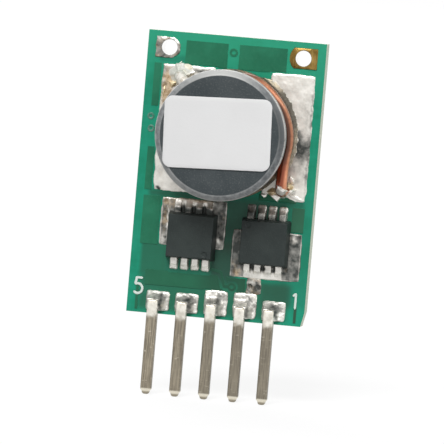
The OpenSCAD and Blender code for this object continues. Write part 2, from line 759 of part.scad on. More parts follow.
module controller_terminals() color(TIN) above_back() terminal_blocks();

module controller_body() color(MOULDING) above_back() difference() {
    corner = controller_w / 2 - terminal_l;
    translate([-controller_w / 2, controller_z - controller_w / 2, 0])
        cube([controller_w, controller_w, controller_t]);
    terminal_blocks();
    translate([corner, controller_z + corner, controller_t - dimple_depth]) dimple();
}

module terminal_lands(grow = 0) at_terminals()
    area(-terminal_l, -terminal_w / 2, chip_toe, terminal_w / 2, grow);

module back_land_areas(grow = 0) {
    for (s = SIDES) {
        at_input(s) chip_lands(bulk_l, input_w, bulk_end, grow);
        at_output(s) chip_lands(bulk_l, output_w, bulk_end, grow);
    }
    for (k = [0:len(RESISTORS) - 1]) at_resistor(k) chip_lands(chip_l, chip_w, chip_end, grow);
    for (k = [0:len(CHIP_CAPACITORS) - 1]) at_chip(k) chip_lands(chip_l, chip_w, chip_end, grow);
    terminal_lands(grow);
}

module back_lands() color(TIN) on_back() linear_extrude(land_t) back_land_areas();

module back_solder() color(TIN) above_back() {
    for (s = SIDES) {
        at_input(s) chip_fillets(bulk_l, input_w, input_t);
        at_output(s) chip_fillets(bulk_l, output_w, output_t);
    }
    for (k = [0:len(RESISTORS) - 1]) at_resistor(k) chip_fillets(chip_l, chip_w, resistor_t);
    for (k = [0:len(CHIP_CAPACITORS) - 1]) at_chip(k) chip_fillets(chip_l, chip_w, chip_t);
    at_terminals() translate([0, terminal_w / 2, 0]) rotate([90, 0, 0]) linear_extrude(terminal_w)
        fillet(chip_toe, terminal_h);
}

// Two pours on the back: the input's below the controller, the output's above it
module back_copper() color(MASKED_COPPER) on_back() linear_extrude(pour_t) difference() {
    half_w = board_w / 2 - pour_inset;
    union() {
        area(-half_w, lower_margin, half_w, controller_z - controller_w / 2 - row_gap / 2);
        area(-half_w, controller_z + controller_w / 2 + row_gap / 2, half_w, pour_top);
    }
    back_land_areas(mask_gap);
    translate([board_x, 0]) mirror([1, 0]) for (s = SIDES) hole_land(s, mask_gap);
}

// Nodes

circuit_board();
front_copper();
front_lands();
back_copper();
back_lands();
for (s = SIDES) {
    hole_lands(s);
    coil_solder(s);
    transistor_body(s);
    transistor_leads(s);
    transistor_solder(s);
    input_capacitor(s);
    input_capacitor_ends(s);
    output_capacitor(s);
    output_capacitor_ends(s);
}
for (i = [1:pin_count]) {
    pin(i);
    pin_solder(i);
}
coil_core();
coil_winding();
coil_label();
controller_body();
controller_terminals();
for (k = [0:len(RESISTORS) - 1]) {
    resistor(k);
    resistor_ends(k);
}
for (k = [0:len(CHIP_CAPACITORS) - 1]) {
    chip_capacitor(k);
    chip_capacitor_ends(k);
}
back_solder();
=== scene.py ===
"""Looks of a plug-in dc-dc converter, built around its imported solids.

Lengths are millimetres until a mesh is made. X runs to the right, Z up, and the board's front
looks along -Y.
"""

import math

import bpy
import numpy as np
from mathutils import Matrix, Vector


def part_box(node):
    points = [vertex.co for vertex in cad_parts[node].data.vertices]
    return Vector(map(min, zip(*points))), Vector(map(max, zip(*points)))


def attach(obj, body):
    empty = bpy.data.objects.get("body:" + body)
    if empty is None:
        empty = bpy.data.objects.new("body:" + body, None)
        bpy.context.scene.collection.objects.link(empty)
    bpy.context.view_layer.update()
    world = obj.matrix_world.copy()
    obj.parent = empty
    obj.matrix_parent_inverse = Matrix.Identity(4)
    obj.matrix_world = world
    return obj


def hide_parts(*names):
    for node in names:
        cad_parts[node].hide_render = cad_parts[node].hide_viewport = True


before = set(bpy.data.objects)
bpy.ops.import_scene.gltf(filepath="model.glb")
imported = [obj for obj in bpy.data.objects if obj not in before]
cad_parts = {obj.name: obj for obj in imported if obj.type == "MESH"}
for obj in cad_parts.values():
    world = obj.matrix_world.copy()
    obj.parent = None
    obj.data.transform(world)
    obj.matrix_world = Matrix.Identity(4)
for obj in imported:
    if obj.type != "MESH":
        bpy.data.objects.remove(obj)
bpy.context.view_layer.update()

MM = 0.001
SIDES = ("left", "right")
SIDE_SIGN = {"left": -1, "right": 1}
PHOTO_PIXELS = 444

# Measures taken from the frame


def corners(node):
    """A node's lowest and highest corner, in millimetres."""
    return [np.array(corner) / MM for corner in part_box(node)]


def middle_and_size(node):
    """The middle of a node's box and its three sides."""
    low, high = corners(node)
    return (low + high) / 2, high - low


board_low, board_high = corners("circuit_board")
front_y, back_y = board_low[1], board_high[1]
board_t = back_y - front_y
coil_middle, coil_size = middle_and_size("coil_core")
coil_x, _, coil_z = coil_middle
flange_r = coil_size[0] / 2
land_t = front_y - corners("coil_core")[1][1]
core_top = land_t + coil_size[1]
floor_z = corners("pin_1")[0][2]

# Sizes that the solids' boxes don't give

# The coil's lands: reach past the flange, widths, how far short of it they end, and how far up they sit
left_coil_reach, right_coil_reach = 0.45, 1.05
left_coil_land_w, right_coil_land_w = 3.3, 2.75
coil_land_short, coil_land_up = 0.1, 0.1

# The core's flanges and post, the wire, and how far the outer lead and the first leg stand out
lower_flange_t, upper_flange_t, post_r = 0.9, 1.0, 2.67
wire_r, wire_gap, wire_rows = 0.35, 0.04, 3
lead_proud, leg_gap = 0.2, 0.28

# The transistors' leads and lands, and how far a drain land runs past the body's sides and its middle
lead_count, lead_pitch, lead_w, lead_t, lead_reach = 4, 0.65, 0.36, 0.22, 0.32
lead_root, lead_land_w, lead_land_reach = 0.4, 0.48, 0.82
drain_near_side, drain_far_side, drain_past = 0.52, {"left": 0.52, "right": 0.75}, 0.7

# The pins' row, their lap on the board and their lands, and the neck from pin 2 to a drain land
pin_pitch, pin_lap, pin_offset, pin_land_w, pin_land_low = 1.78, 0.9, 0.22, 1.42, 0.2
pin_land_tops = {1: 1.4, 2: 1.74, 3: 1.74, 4: 1.4, 5: 1.4}
neck_w, neck_lap, neck_via_r, neck_via_depth = 0.9, 0.05, 0.16, 0.06

# The plated holes, from the board's edges, and their lands
hole_r, hole_inset, hole_margin, hole_lining_t = 0.5, 1.35, 0.35, 0.02
hole_ring, hole_land_out, hole_land_in = 0.13, 0.35, {"left": 0.15, "right": 0.35}

# Dimples, label and the parts on the back
dimple_r, dimple_depth = 0.18, 0.05
label_w, label_h, label_r, label_turn = 6.5, 4.3, 0.5, 2.3
bulk_end, chip_end, chip_toe, chip_lift = 0.5, 0.3, 0.3, 0.03
terminal_h, terminal_w, terminal_pitch, terminal_count, terminal_tuck = 0.2, 0.25, 0.5, 5, 0.1

# How solder lies: its share of a chip's height, the power that hollows it out, and its thickness on leads,
# pins and the back, a little over that of a land
wetting, hollowing = 2 / 3, 2.2
lead_pool_t, pin_pool_t, back_pool_t = land_t + 0.02, land_t + 0.015, land_t + 0.01

# Surfaces: points on grids, with the faces between them

NO_TRIANGLES = np.zeros((0, 3), int)
GOLDEN_ANGLE = 2.39996

# A moulded dimple from its rim to its middle: shares of its radius and of its depth
DIMPLE_SECTION = [(1.25, 0), (1.06, 0), (1.0, 0.12), (0.93, 0.6), (0.82, 0.9), (0.6, 1.0)]


def grid_quads(rows, columns, wrap_rows=False, wrap_columns=False):
    """The quads between neighbouring points of a grid. A wrapped way joins its last line to its first."""
    r = np.arange(rows if wrap_rows else rows - 1)[:, None]
    c = np.arange(columns if wrap_columns else columns - 1)
    r_next, c_next = (r + 1) % rows, (c + 1) % columns
    ring = [r * columns + c, r * columns + c_next, r_next * columns + c_next, r_next * columns + c]
    return np.stack(np.broadcast_arrays(*ring), -1).reshape(-1, 4)


def outwards(points, quads, triangles=NO_TRIANGLES):
    """A closed surface with its faces turned outwards: the volume summed over them is positive."""
    split = np.concatenate([quads[:, [0, 1, 2]], quads[:, [0, 2, 3]], triangles])
    a, b, c = (points[split[:, k]] - points.mean(0) for k in range(3))
    if np.einsum("ij,ij", a, np.cross(b, c)) < 0:
        return points, quads[:, ::-1], triangles[:, ::-1]
    return points, quads, triangles


def loft(loops):
    """A closed skin over a row of loops: quads from loop to loop, and a fan in each end loop."""
    loops = np.asarray(loops, float)
    count, sides, _ = loops.shape
    points = np.concatenate([loops.reshape(-1, 3), [loops[0].mean(0), loops[-1].mean(0)]])
    here = np.arange(sides)
    following = (here + 1) % sides
    last = (count - 1) * sides
    first_fan = np.stack([np.full(sides, count * sides), following, here], -1)
    last_fan = np.stack([np.full(sides, count * sides + 1), last + here, last + following], -1)
    quads = grid_quads(count, sides, wrap_columns=True)
    return outwards(points, quads, np.concatenate([first_fan, last_fan]))


def hoop(rings):
    """A closed skin over rings about one axis: quads from ring to ring, and from the last to the first."""
    return outwards(np.concatenate(rings), grid_quads(len(rings), len(rings[0]), True, True))


def pillow(top, bottom):
    """A closed skin from two grids that share the points along their rims."""
    rows, columns, _ = top.shape
    under = np.arange(rows * columns).reshape(rows, columns)
    inner = under[1:-1, 1:-1]
    under[1:-1, 1:-1] = rows * columns + np.arange(inner.size).reshape(inner.shape)
    points = np.concatenate([top.reshape(-1, 3), bottom[1:-1, 1:-1].reshape(-1, 3)])
    quads = grid_quads(rows, columns)
    return outwards(points, np.concatenate([quads, under.reshape(-1)[quads][:, ::-1]]))


def on_board(x, z, height, face="front"):
    """Points at a height above one of the board's faces."""
    y = front_y - np.asarray(height) if face == "front" else back_y + np.asarray(height)
    return np.stack(np.broadcast_arrays(x, y, z), -1).astype(float)


def gathered(count):
    """Numbers from 0 to 1 whose steps shrink towards both ends, as half a cosine wave does."""
    return (1 - np.cos(np.linspace(0, np.pi, count))) / 2


def ease(t):
    """From 0 to 1, starting and ending level."""
    t = np.clip(t, 0, 1)
    return t * t * (3 - 2 * t)


def ripples(x, z, length, seed, waves=9):
    """An uneven field between about -1 and 1: sine waves turned by the golden angle, ever shorter."""
    field = 0.0
    for k in range(waves):
        angle = GOLDEN_ANGLE * k + seed
        number = 2 * np.pi / (length * 0.8 ** k)
        along = x * math.cos(angle) + z * math.sin(angle)
        field = field + 0.85 ** k * np.sin(number * along + 2.1 * k * k + 1.3 * seed)
    return field / 3.0


def spots(points, places):
    """Soft patches on the board: for each (x, z, width, height, strength), a bell curve of that size whose
    rim strays with ripples."""
    field = np.zeros(len(points))
    at_x, at_z = points[:, 0], points[:, 2]
    strayed_x = at_x + 0.07 * ripples(at_x, at_z, 0.6, 11, 5)
    strayed_z = at_z + 0.07 * ripples(at_x, at_z, 0.6, 14, 5)
    for x, z, wide, high, strength in places:
        away = ((strayed_x - x) / wide) ** 2 + ((strayed_z - z) / high) ** 2
        field = field + strength * np.exp(-away ** 1.3)
    return field


def straight_path(points, steps=12):
    """A path through straight strokes, with steps on each."""
    points = np.array(points, float)
    t = np.linspace(0, len(points) - 1, steps * (len(points) - 1) + 1)
    return np.stack([np.interp(t, np.arange(len(points)), points[:, k]) for k in (0, 1)], -1)


def rounded_loop(w, h, r, steps=6):
    """A rectangle with round corners, as points in order: each corner's arc, then three points of a side."""
    turn = np.linspace(0, np.pi / 2, steps + 1)
    arcs = []
    for k, (sx, sy) in enumerate([(1, 1), (-1, 1), (-1, -1), (1, -1)]):
        centre = np.array([sx * (w / 2 - r), sy * (h / 2 - r)])
        angle = turn + k * np.pi / 2
        arcs.append(centre + r * np.stack([np.cos(angle), np.sin(angle)], -1))
    loop = []
    for arc, following in zip(arcs, arcs[1:] + arcs[:1]):
        side = following[0] - arc[-1]
        loop += [arc, arc[-1] + side * np.array([[0.06], [0.5], [0.94]])]
    return np.concatenate(loop)


def block(middle, w, h, base, top, face="front", *, edge, draft=0.0, dimple=None):
    """A moulded block on the board: rounded rectangles from its base up its sides, round its upper edge and
    across its top, ending in the middle or in a round dimple at a given place."""
    height = top - base
    corner = edge * 1.5
    turns = np.linspace(0, np.pi / 2, 6)
    rings = [(0.0, 0.0), (0.0, 0.04 * height)]
    rings += [(draft + edge * (1 - math.cos(a)), height - edge * (1 - math.sin(a))) for a in turns]
    rings += [(draft + edge * 1.4, height)]
    loops = []
    for inset, up in rings:
        loop = rounded_loop(w - 2 * inset, h - 2 * inset, corner)
        loops.append(on_board(middle[0] + loop[:, 0], middle[1] + loop[:, 1], base + up, face))
    if dimple is not None:
        outline = rounded_loop(w, h, corner)
        angle = np.arctan2(outline[:, 1], outline[:, 0])
        for r, down in DIMPLE_SECTION:
            x = middle[0] + dimple[0] + r * dimple_r * np.cos(angle)
            z = middle[1] + dimple[1] + r * dimple_r * np.sin(angle)
            loops.append(on_board(x, z, top - down * dimple_depth, face))
    return loft(loops)


def puddle(area, thick, seed, face="front", edge=0.14, wander=0.025, relief=0.012, steps=(40, 40),
           grain=0.9, rise=None):
    """Solder that has frozen on a land.

    Its outline is the land's rectangle with its corners drawn in and its edges wandering with ripples.
    Its height climbs from the rim along a quarter ellipse, then follows ripples and the rise given at
    each place.
    """
    x0, z0, x1, z1 = area
    u, v = np.meshgrid(gathered(steps[0]), gathered(steps[1]), indexing="ij")
    x, z = x0 + (x1 - x0) * u, z0 + (z1 - z0) * v
    corner = np.abs((2 * u - 1) * (2 * v - 1)) ** 6 * edge * 0.4
    rim_x = np.clip(np.minimum(x - x0, x1 - x) / edge, 0, 1)
    rim_z = np.clip(np.minimum(z - z0, z1 - z) / edge, 0, 1)
    climb = np.sqrt(1 - (1 - rim_x) ** 2) * np.sqrt(1 - (1 - rim_z) ** 2)
    height = thick + relief * ripples(x, z, grain, seed)
    if rise is not None:
        height = height + rise(x, z)
    x_out = x - np.sign(2 * u - 1) * corner + wander * ripples(x, z, 1.1, seed + 3)
    z_out = z - np.sign(2 * v - 1) * corner + wander * ripples(x, z, 1.1, seed + 7)
    return pillow(on_board(x_out, z_out, climb * height, face), on_board(x_out, z_out, 0.0, face))


def tube(path, r, first, sides=24):
    """A round rod along a path: rings square to it. A ring's first point lies the way given at the start,
    and then as near as it can to that of the ring before it."""
    ahead = np.gradient(path, axis=0)
    ahead /= np.linalg.norm(ahead, axis=1, keepdims=True)
    ways = []
    for heading in ahead:
        first = first - heading * (first @ heading)
        first = first / np.linalg.norm(first)
        ways.append(first)
    u = np.array(ways)
    v = np.cross(ahead, u)
    turn = np.linspace(0, 2 * np.pi, sides, endpoint=False)[:, None]
    return loft(path[:, None] + r * (np.cos(turn) * u[:, None] + np.sin(turn) * v[:, None]))


def ribbon(path, w, thick, base):
    """A flat stroke of ink along a path on the board: a lens across it, drawn in to a round at each end."""
    ahead = np.gradient(path, axis=0)
    ahead /= np.linalg.norm(ahead, axis=1, keepdims=True)
    across = np.stack([-ahead[:, 1], ahead[:, 0]], -1)
    run = np.concatenate([[0], np.cumsum(np.linalg.norm(np.diff(path, axis=0), axis=1))])
    from_end = np.minimum(run, run[-1] - run)
    half = w / 2 * np.sqrt(1 - (1 - np.clip(from_end / (w / 2), 0.02, 1)) ** 2)
    turn = np.linspace(0, 2 * np.pi, 16, endpoint=False)
    side = path[:, None] + (half[:, None] * np.cos(turn))[..., None] * across[:, None]
    lift = base + thick * np.clip(np.sin(turn), 0, 1) ** 0.4
    return loft(on_board(side[..., 0], side[..., 1], lift[None, :] + 0 * side[..., 0]))


# Shader values


class Socket:
    """A shader socket that takes Python's operators: each operation adds a Math node to its tree."""

    def __init__(self, socket):
        self.socket = socket

    def node(self, kind, settings=None, sockets=None, output=0):
        """Adds a node. Its settings come first, then the values or links of its sockets."""
        made = self.socket.id_data.nodes.new("ShaderNode" + kind)
        for key, value in (settings or {}).items():
            if key == "stops":
                set_stops(made.color_ramp, value)
            else:
                setattr(made, key, value)
        for key, value in (sockets or {}).items():
            plug(made.inputs[key], value)
        return Socket(made.outputs[output])

    def math(self, operation, first, second=0.0):
        """Adds a Math node."""
        return self.node("Math", {"operation": operation}, {0: first, 1: second})

    def __add__(self, other):
        return self.math("ADD", self, other)

    def __radd__(self, other):
        return self.math("ADD", other, self)

    def __sub__(self, other):
        return self.math("SUBTRACT", self, other)

    def __rsub__(self, other):
        return self.math("SUBTRACT", other, self)

    def __mul__(self, other):
        return self.math("MULTIPLY", self, other)

    def __rmul__(self, other):
        return self.math("MULTIPLY", other, self)

    def __abs__(self):
        return self.math("ABSOLUTE", self)


def plug(target, value):
    """Links a socket, or sets a plain value."""
    if isinstance(value, Socket):
        target.id_data.links.new(value.socket, target)
    else:
        target.default_value = value


def set_stops(ramp, stops):
    """Gives a colour ramp its stops, as (place, colour)."""
    while len(ramp.elements) < len(stops):
        ramp.elements.new(1.0)
    for element, (place, colour) in zip(ramp.elements, stops):
        element.position = place
        element.color = (*colour, 1.0)


def smooth(value, low, high):
    """From 0 to 1 as a value goes from low to high."""
    return value.node("MapRange", {"interpolation_type": "SMOOTHSTEP"},
                      {"Value": value, "From Min": low, "From Max": high})


def noise(at, scale, detail=3.0, rough=0.55):
    """Cloudy noise with so many blotches in a millimetre."""
    return at.node("TexNoise", None, {"Vector": at, "Scale": scale, "Detail": detail, "Roughness": rough})


def stretched(at, x, y, z):
    """Coordinates scaled on each axis, so that a pattern runs along one of them."""
    return at.node("VectorMath", {"operation": "MULTIPLY"}, {0: at, 1: (x, y, z)})


def parts(at):
    """The three numbers of a vector."""
    split = at.node("SeparateXYZ", None, {0: at})
    return [Socket(out) for out in split.socket.node.outputs]


def tint(factor, first, second):
    """A colour between two colours."""
    ends = [c if isinstance(c, Socket) else (*c, 1.0) for c in (first, second)]
    return factor.node("Mix", {"data_type": "RGBA"}, {0: factor, 6: ends[0], 7: ends[1]}, output=2)


def tones(field, first, second):
    """Two colours of a finish, parted softly by a noise."""
    return tint(smooth(field, 0.3, 0.7), first, second)


def flecked(base, grain, colour, share):
    """A colour with flecks of another where a noise is high, at a share of their strength."""
    return tint(smooth(grain, 0.55, 0.75) * share, base, colour)


def bumped(height, depth):
    """A normal that follows a height between 0 and 1, over a depth in millimetres."""
    return height.node("Bump", None, {"Height": height, "Strength": 1.0, "Distance": depth * MM})


def attribute(at, name):
    """A number that the piece carries on its points."""
    return at.node("Attribute", {"attribute_name": name}, output=2)


def facing(at):
    """How squarely a surface looks along Y, from 0 to 1."""
    normal = Socket(at.node("TexCoord").socket.node.outputs["Normal"])
    return abs(parts(normal)[1])


def finish(name, paint, **constants):
    """A material: constants on the shader's own sockets, and what paint gives at places in millimetres."""
    material = bpy.data.materials.new(name)
    material.use_nodes = True
    tree = material.node_tree
    shader = tree.nodes["Principled BSDF"]
    for key, value in constants.items():
        shader.inputs[key.replace("_", " ")].default_value = value
    place = Socket(tree.nodes.new("ShaderNodeTexCoord").outputs["Object"])
    at = place.node("VectorMath", {"operation": "SCALE"}, {"Vector": place, "Scale": 1 / MM})
    for key, value in paint(at).items():
        plug(shader.inputs[key], value)
    return material


# Finishes


def within(x, z, left, right, low, high, soft):
    """1 inside an area of the board, fading over a soft border."""
    sides = smooth(x, left - soft, left + soft) * smooth(x, right + soft, right - soft)
    return sides * smooth(z, low - soft, low + soft) * smooth(z, high + soft, high - soft)


# Darker areas of the mask, some of them copper under it and some painted shade below the coil and about the
# transistors: left, right, low, high, soft border, strength and colour
MASK_COPPER_AND_SHADE_ZONES = [
    (3.8, 9.0, 1.1, 7.9, 0.5, 0.35, (0.014, 0.12, 0.075)),
    (-4.45, -2.3, 15.28, 15.72, 0.15, 0.5, (0.008, 0.13, 0.085)),
    (-4.55, 4.6, 0.2, 2.45, 0.25, 0.8, (0.02, 0.115, 0.066)),
    (2.95, 4.8, 1.05, 2.45, 0.25, 0.5, (0.02, 0.06, 0.04)),
    (-3.25, 1.1, 2.5, 4.5, 0.25, 0.65, (0.024, 0.11, 0.07)),
    (-0.3, 1.35, 2.25, 4.7, 0.3, 0.75, (0.022, 0.05, 0.036)),
    (-4.6, -3.05, 2.4, 4.35, 0.15, 0.85, (0.02, 0.13, 0.075)),
    (-4.45, 0.0, 7.1, 7.55, 0.2, 0.7, (0.02, 0.085, 0.05)),
    (4.2, 5.1, 7.15, 7.5, 0.15, 0.5, (0.02, 0.07, 0.045)),
    (0.2, 4.2, 4.3, 7.45, 0.4, 0.7, (0.03, 0.055, 0.04)),
]


def paint_laminate(at):
    """Green mask over glass cloth, and pale sawn edges with the cloth's layers in them. Painted light makes
    the mask lighter towards the top, and painted shade makes some of its darker zones.
    """
    x, _, z = parts(at)
    mask = smooth(facing(at), 0.5, 0.7)
    cloud = noise(at, 0.35, 2.0)
    weave = noise(stretched(at, 3.2, 1, 0.7), 1.0, 1.0) + noise(stretched(at, 0.7, 1, 3.2), 1.0, 1.0)
    green = tones(cloud, (0.006, 0.225, 0.128), (0.011, 0.285, 0.172))
    green = tint(smooth(weave, 0.75, 1.3) * 0.3, green, (0.018, 0.34, 0.22))
    # Painted light: the mask grows lighter towards the top.
    green = tint(smooth(z, 13.0, 17.0) * 0.6, green, (0.035, 0.36, 0.21))
    for *area, strength, colour in MASK_COPPER_AND_SHADE_ZONES:
        green = tint(within(x, z, *area) * strength, green, colour)
    layer = noise(stretched(at, 0.5, 14, 0.5), 1.0, 2.0)
    edge = tint(smooth(layer, 0.35, 0.65), (0.58, 0.66, 0.5), (0.78, 0.81, 0.68))
    grit = noise(at, 9.0, 2.0)
    return {
        "Base Color": tint(mask, edge, green),
        "Roughness": 0.55 - mask * 0.27 + grit * 0.06,
        "Normal": bumped(cloud * mask * 0.4 + weave * 0.3 + grit * (1 - mask), 0.012),
    }


def paint_masked_copper(at):
    """Copper seen through the mask: darker and browner, with a faint grain. It is darker low down, and
    painted shade darkens it further between the transistors and at the lower right.
    """
    cloud = noise(at, 0.6)
    grain = noise(at, 6.0, 2.0)
    x, _, z = parts(at)
    dark = tones(cloud, (0.012, 0.14, 0.073), (0.02, 0.19, 0.102))
    dark = tint(smooth(grain, 0.5, 0.75) * 0.25, dark, (0.04, 0.19, 0.11))
    # Darker low down; the next two tints are painted shade between the transistors and at the lower right.
    dark = tint(smooth(z, 4.4, 3.2) * 0.6, dark, (0.018, 0.105, 0.056))
    dark = tint(smooth(z, 4.4, 3.2) * smooth(x, -1.6, 0.2) * 0.55, dark, (0.014, 0.055, 0.033))
    dark = tint(smooth(x, 3.8, 4.4) * smooth(z, 8.0, 7.5) * 0.5, dark, (0.04, 0.08, 0.05))
    return {
        "Base Color": tint(smooth(facing(at), 0.5, 0.8), (0.03, 0.3, 0.18), dark),
        "Roughness": 0.27 + grain * 0.1,
        "Normal": bumped(cloud * 0.5 + grain * 0.25, 0.01),
    }


def paint_solder(at):
    """Frozen solder: bright, and darker where the piece carries darkening, which is dull solder in places
    and painted shade in others; lighter where that is below 0, some of it painted highlights; tan with flux
    where the piece carries it.
    """
    grain = noise(at, 4.5)
    cloud = noise(at, 1.8)
    darkened = attribute(at, "dull")
    worn = darkened + (cloud - 0.5) * 0.55 + (grain - 0.5) * (0.2 + darkened * 0.45)
    flux = smooth(attribute(at, "flux") + (noise(at, 2.4, 4.0, 0.6) - 0.5) * 1.1, 0.2, 0.85)
    shades = [(0.0, (0.8, 0.78, 0.73)), (0.3, (0.62, 0.6, 0.555)), (0.62, (0.27, 0.265, 0.245)),
              (1.0, (0.055, 0.06, 0.056))]
    metal = worn.node("ValToRGB", {"stops": shades}, {0: worn})
    stain = tint(smooth(grain, 0.4, 0.62), (0.56, 0.43, 0.28), (0.28, 0.185, 0.09))
    return {
        "Base Color": tint(flux, metal, stain),
        "Metallic": 0.85 - flux * 0.6,
        "Roughness": 0.38 + smooth(worn, 0.1, 0.8) * 0.14 + grain * 0.1,
        "Normal": bumped(grain * 0.5 + cloud, 0.009),
    }


def paint_tinned(at):
    """Tin plate: pale grey with faint blotches."""
    grain = noise(at, 8.0)
    cloud = noise(at, 1.8)
    metal = tint(smooth(cloud, 0.35, 0.68), (0.72, 0.7, 0.65), (0.42, 0.4, 0.36))
    return {
        "Base Color": flecked(metal, grain, (0.3, 0.28, 0.25), 0.4),
        "Roughness": 0.3 + grain * 0.14,
        "Normal": bumped(grain * 0.4 + cloud, 0.015),
    }


def paint_lead(at):
    """Tin-plated leads: bright in the lower rows. The upper rows are tan with flux on the left; on the right
    they are darkened by painted shade from the coil, most at the left end, and all of them carry painted
    shade by the body."""
    x, _, z = parts(at)
    grain = noise(at, 7.0)
    cloud = noise(at, 1.6)
    bright = tint(smooth(cloud, 0.35, 0.68), (0.74, 0.71, 0.64), (0.5, 0.47, 0.41))
    upper = smooth(z, 6.0, 6.3)
    bright = tint(upper * smooth(x, 0.6, 0.2) * 0.6, bright, (0.36, 0.28, 0.18))
    # Painted shade from the coil over the right one's upper leads, most at their left end.
    coil_shade = smooth(x, 0.8, 1.2) * (0.35 + smooth(x, 3.6, 2.4) * 0.5)
    bright = tint(upper * coil_shade, bright, (0.15, 0.125, 0.115))
    # Painted shade where the upper leads meet the body.
    root = upper * smooth(z, 6.95, 6.6)
    return {
        "Base Color": tint(root * 0.7 + smooth(grain, 0.55, 0.75) * 0.15, bright, (0.07, 0.06, 0.05)),
        "Roughness": 0.34 + grain * 0.14,
        "Normal": bumped(grain * 0.4 + cloud, 0.012),
    }


def paint_bright_tin(at):
    """Bright tin in a hole, a little clouded."""
    cloud = noise(at, 3.0, 2.0)
    return {
        "Base Color": tint(smooth(cloud, 0.4, 0.7), (0.97, 0.97, 0.96), (0.88, 0.88, 0.86)),
        "Roughness": 0.12 + cloud * 0.06,
    }


def paint_bare_copper(at):
    """Bare copper under a clear preservative: ochre, browner in patches."""
    cloud = noise(at, 2.2, 4.0)
    scratch = noise(stretched(at, 9, 9, 1.2), 1.0)
    ochre = tones(cloud, (0.15, 0.09, 0.017), (0.3, 0.19, 0.05))
    return {
        "Base Color": tint(smooth(scratch, 0.5, 0.75) * 0.5, ochre, (0.45, 0.31, 0.12)),
        "Roughness": 0.34 + cloud * 0.16,
        "Normal": bumped(scratch * 0.6 + cloud * 0.5, 0.012),
    }


def paint_pin(at):
    """Dull drawn tin: streaks along the pin, nicks across it, and bright solder that has wetted its head.
    Painted shade darkens it towards the right, and its tip carries a painted highlight on the shoulder and
    painted shade at the end.
    """
    x, _, z = parts(at)
    streak = noise(stretched(at, 16, 16, 0.7), 1.0, 3.0, 0.65)
    nick = noise(stretched(at, 2.5, 2.5, 9), 1.0, 2.0)
    cloud = noise(at, 0.9)
    bar = tint(smooth(streak, 0.35, 0.68), (0.33, 0.29, 0.22), (0.16, 0.138, 0.106))
    bar = tint(smooth(nick, 0.64, 0.72) * 0.6, bar, (0.55, 0.5, 0.41))
    bar = tint(smooth(cloud, 0.5, 0.8) * 0.4, bar, (0.36, 0.31, 0.235))
    # Painted shade: the pins darken towards the right.
    bar = tint(smooth(x, -4.5, 2.0) * 0.45, bar, (0.13, 0.12, 0.1))
    head = tint(smooth(noise(at, 2.6), 0.35, 0.7), (0.76, 0.735, 0.665), (0.55, 0.52, 0.455))
    head = tint(smooth(z, pin_lap - 0.22, pin_lap - 0.04) * 0.75, head, (0.3, 0.27, 0.21))
    head = flecked(head, noise(at, 4.0, 2.0), (0.7, 0.6, 0.46), 0.5)
    wetted = smooth(z + (noise(at, 3.0, 2.0) - 0.5) * 0.5, -0.35, 0.1)
    # A painted highlight on the tip's shoulder, then painted shade at its very end.
    bar = tint(smooth(z, floor_z + 0.42, floor_z + 0.3) * 0.85, bar, (0.86, 0.81, 0.68))
    bar = tint(smooth(z, floor_z + 0.24, floor_z + 0.12) * 0.8, bar, (0.2, 0.17, 0.12))
    return {
        "Base Color": tint(wetted, bar, head),
        "Metallic": 1 - wetted * 0.15,
        "Roughness": 0.42 - wetted * 0.04 + streak * 0.08,
        "Normal": bumped(streak + nick * 0.5, 0.012),
    }


def paint_ferrite(at):
    """Fired ferrite: dark, finely speckled, pale where its rim was ground, brown with residue low down. The
    rim carries a painted highlight at its top, painted shade at its right, and pale chips with a painted
    highlight line along its edges.
    """
    cloud = noise(at, 0.5, 4.0)
    speck = noise(at, 11.0, 2.0)
    ground = attribute(at, "ground")
    face = tones(cloud, (0.021, 0.03, 0.034), (0.039, 0.049, 0.053))
    face = tint(smooth(speck, 0.52, 0.72) * 0.5, face, (0.09, 0.1, 0.1))
    rim = tint(smooth(noise(at, 3.0, 4.0, 0.65), 0.35, 0.68), (0.25, 0.262, 0.268), (0.11, 0.12, 0.128))
    # A painted highlight at the top of the rim, and painted shade at its right.
    rim = tint(attribute(at, "polished"), rim, (0.5, 0.505, 0.49))
    rim = tint(attribute(at, "sooty"), rim, (0.04, 0.047, 0.05))
    # Pale chips and a painted highlight line along the rim's edges.
    chips_and_glint = attribute(at, "edge") * smooth(noise(at, 1.3, 4.0, 0.65), 0.25, 0.5)
    body = tint(chips_and_glint, tint(ground, face, rim), (0.78, 0.76, 0.73))
    grime = tint(smooth(noise(at, 3.5, 4.0), 0.35, 0.65), (0.1, 0.085, 0.05), (0.33, 0.27, 0.17))
    fouled = attribute(at, "residue") * smooth(noise(at, 1.6), 0.3, 0.55)
    return {
        "Base Color": tint(fouled, body, grime),
        "Roughness": 0.5 + speck * 0.14 - ground * 0.2,
        "Normal": bumped(speck + cloud * 0.6, 0.012),
    }


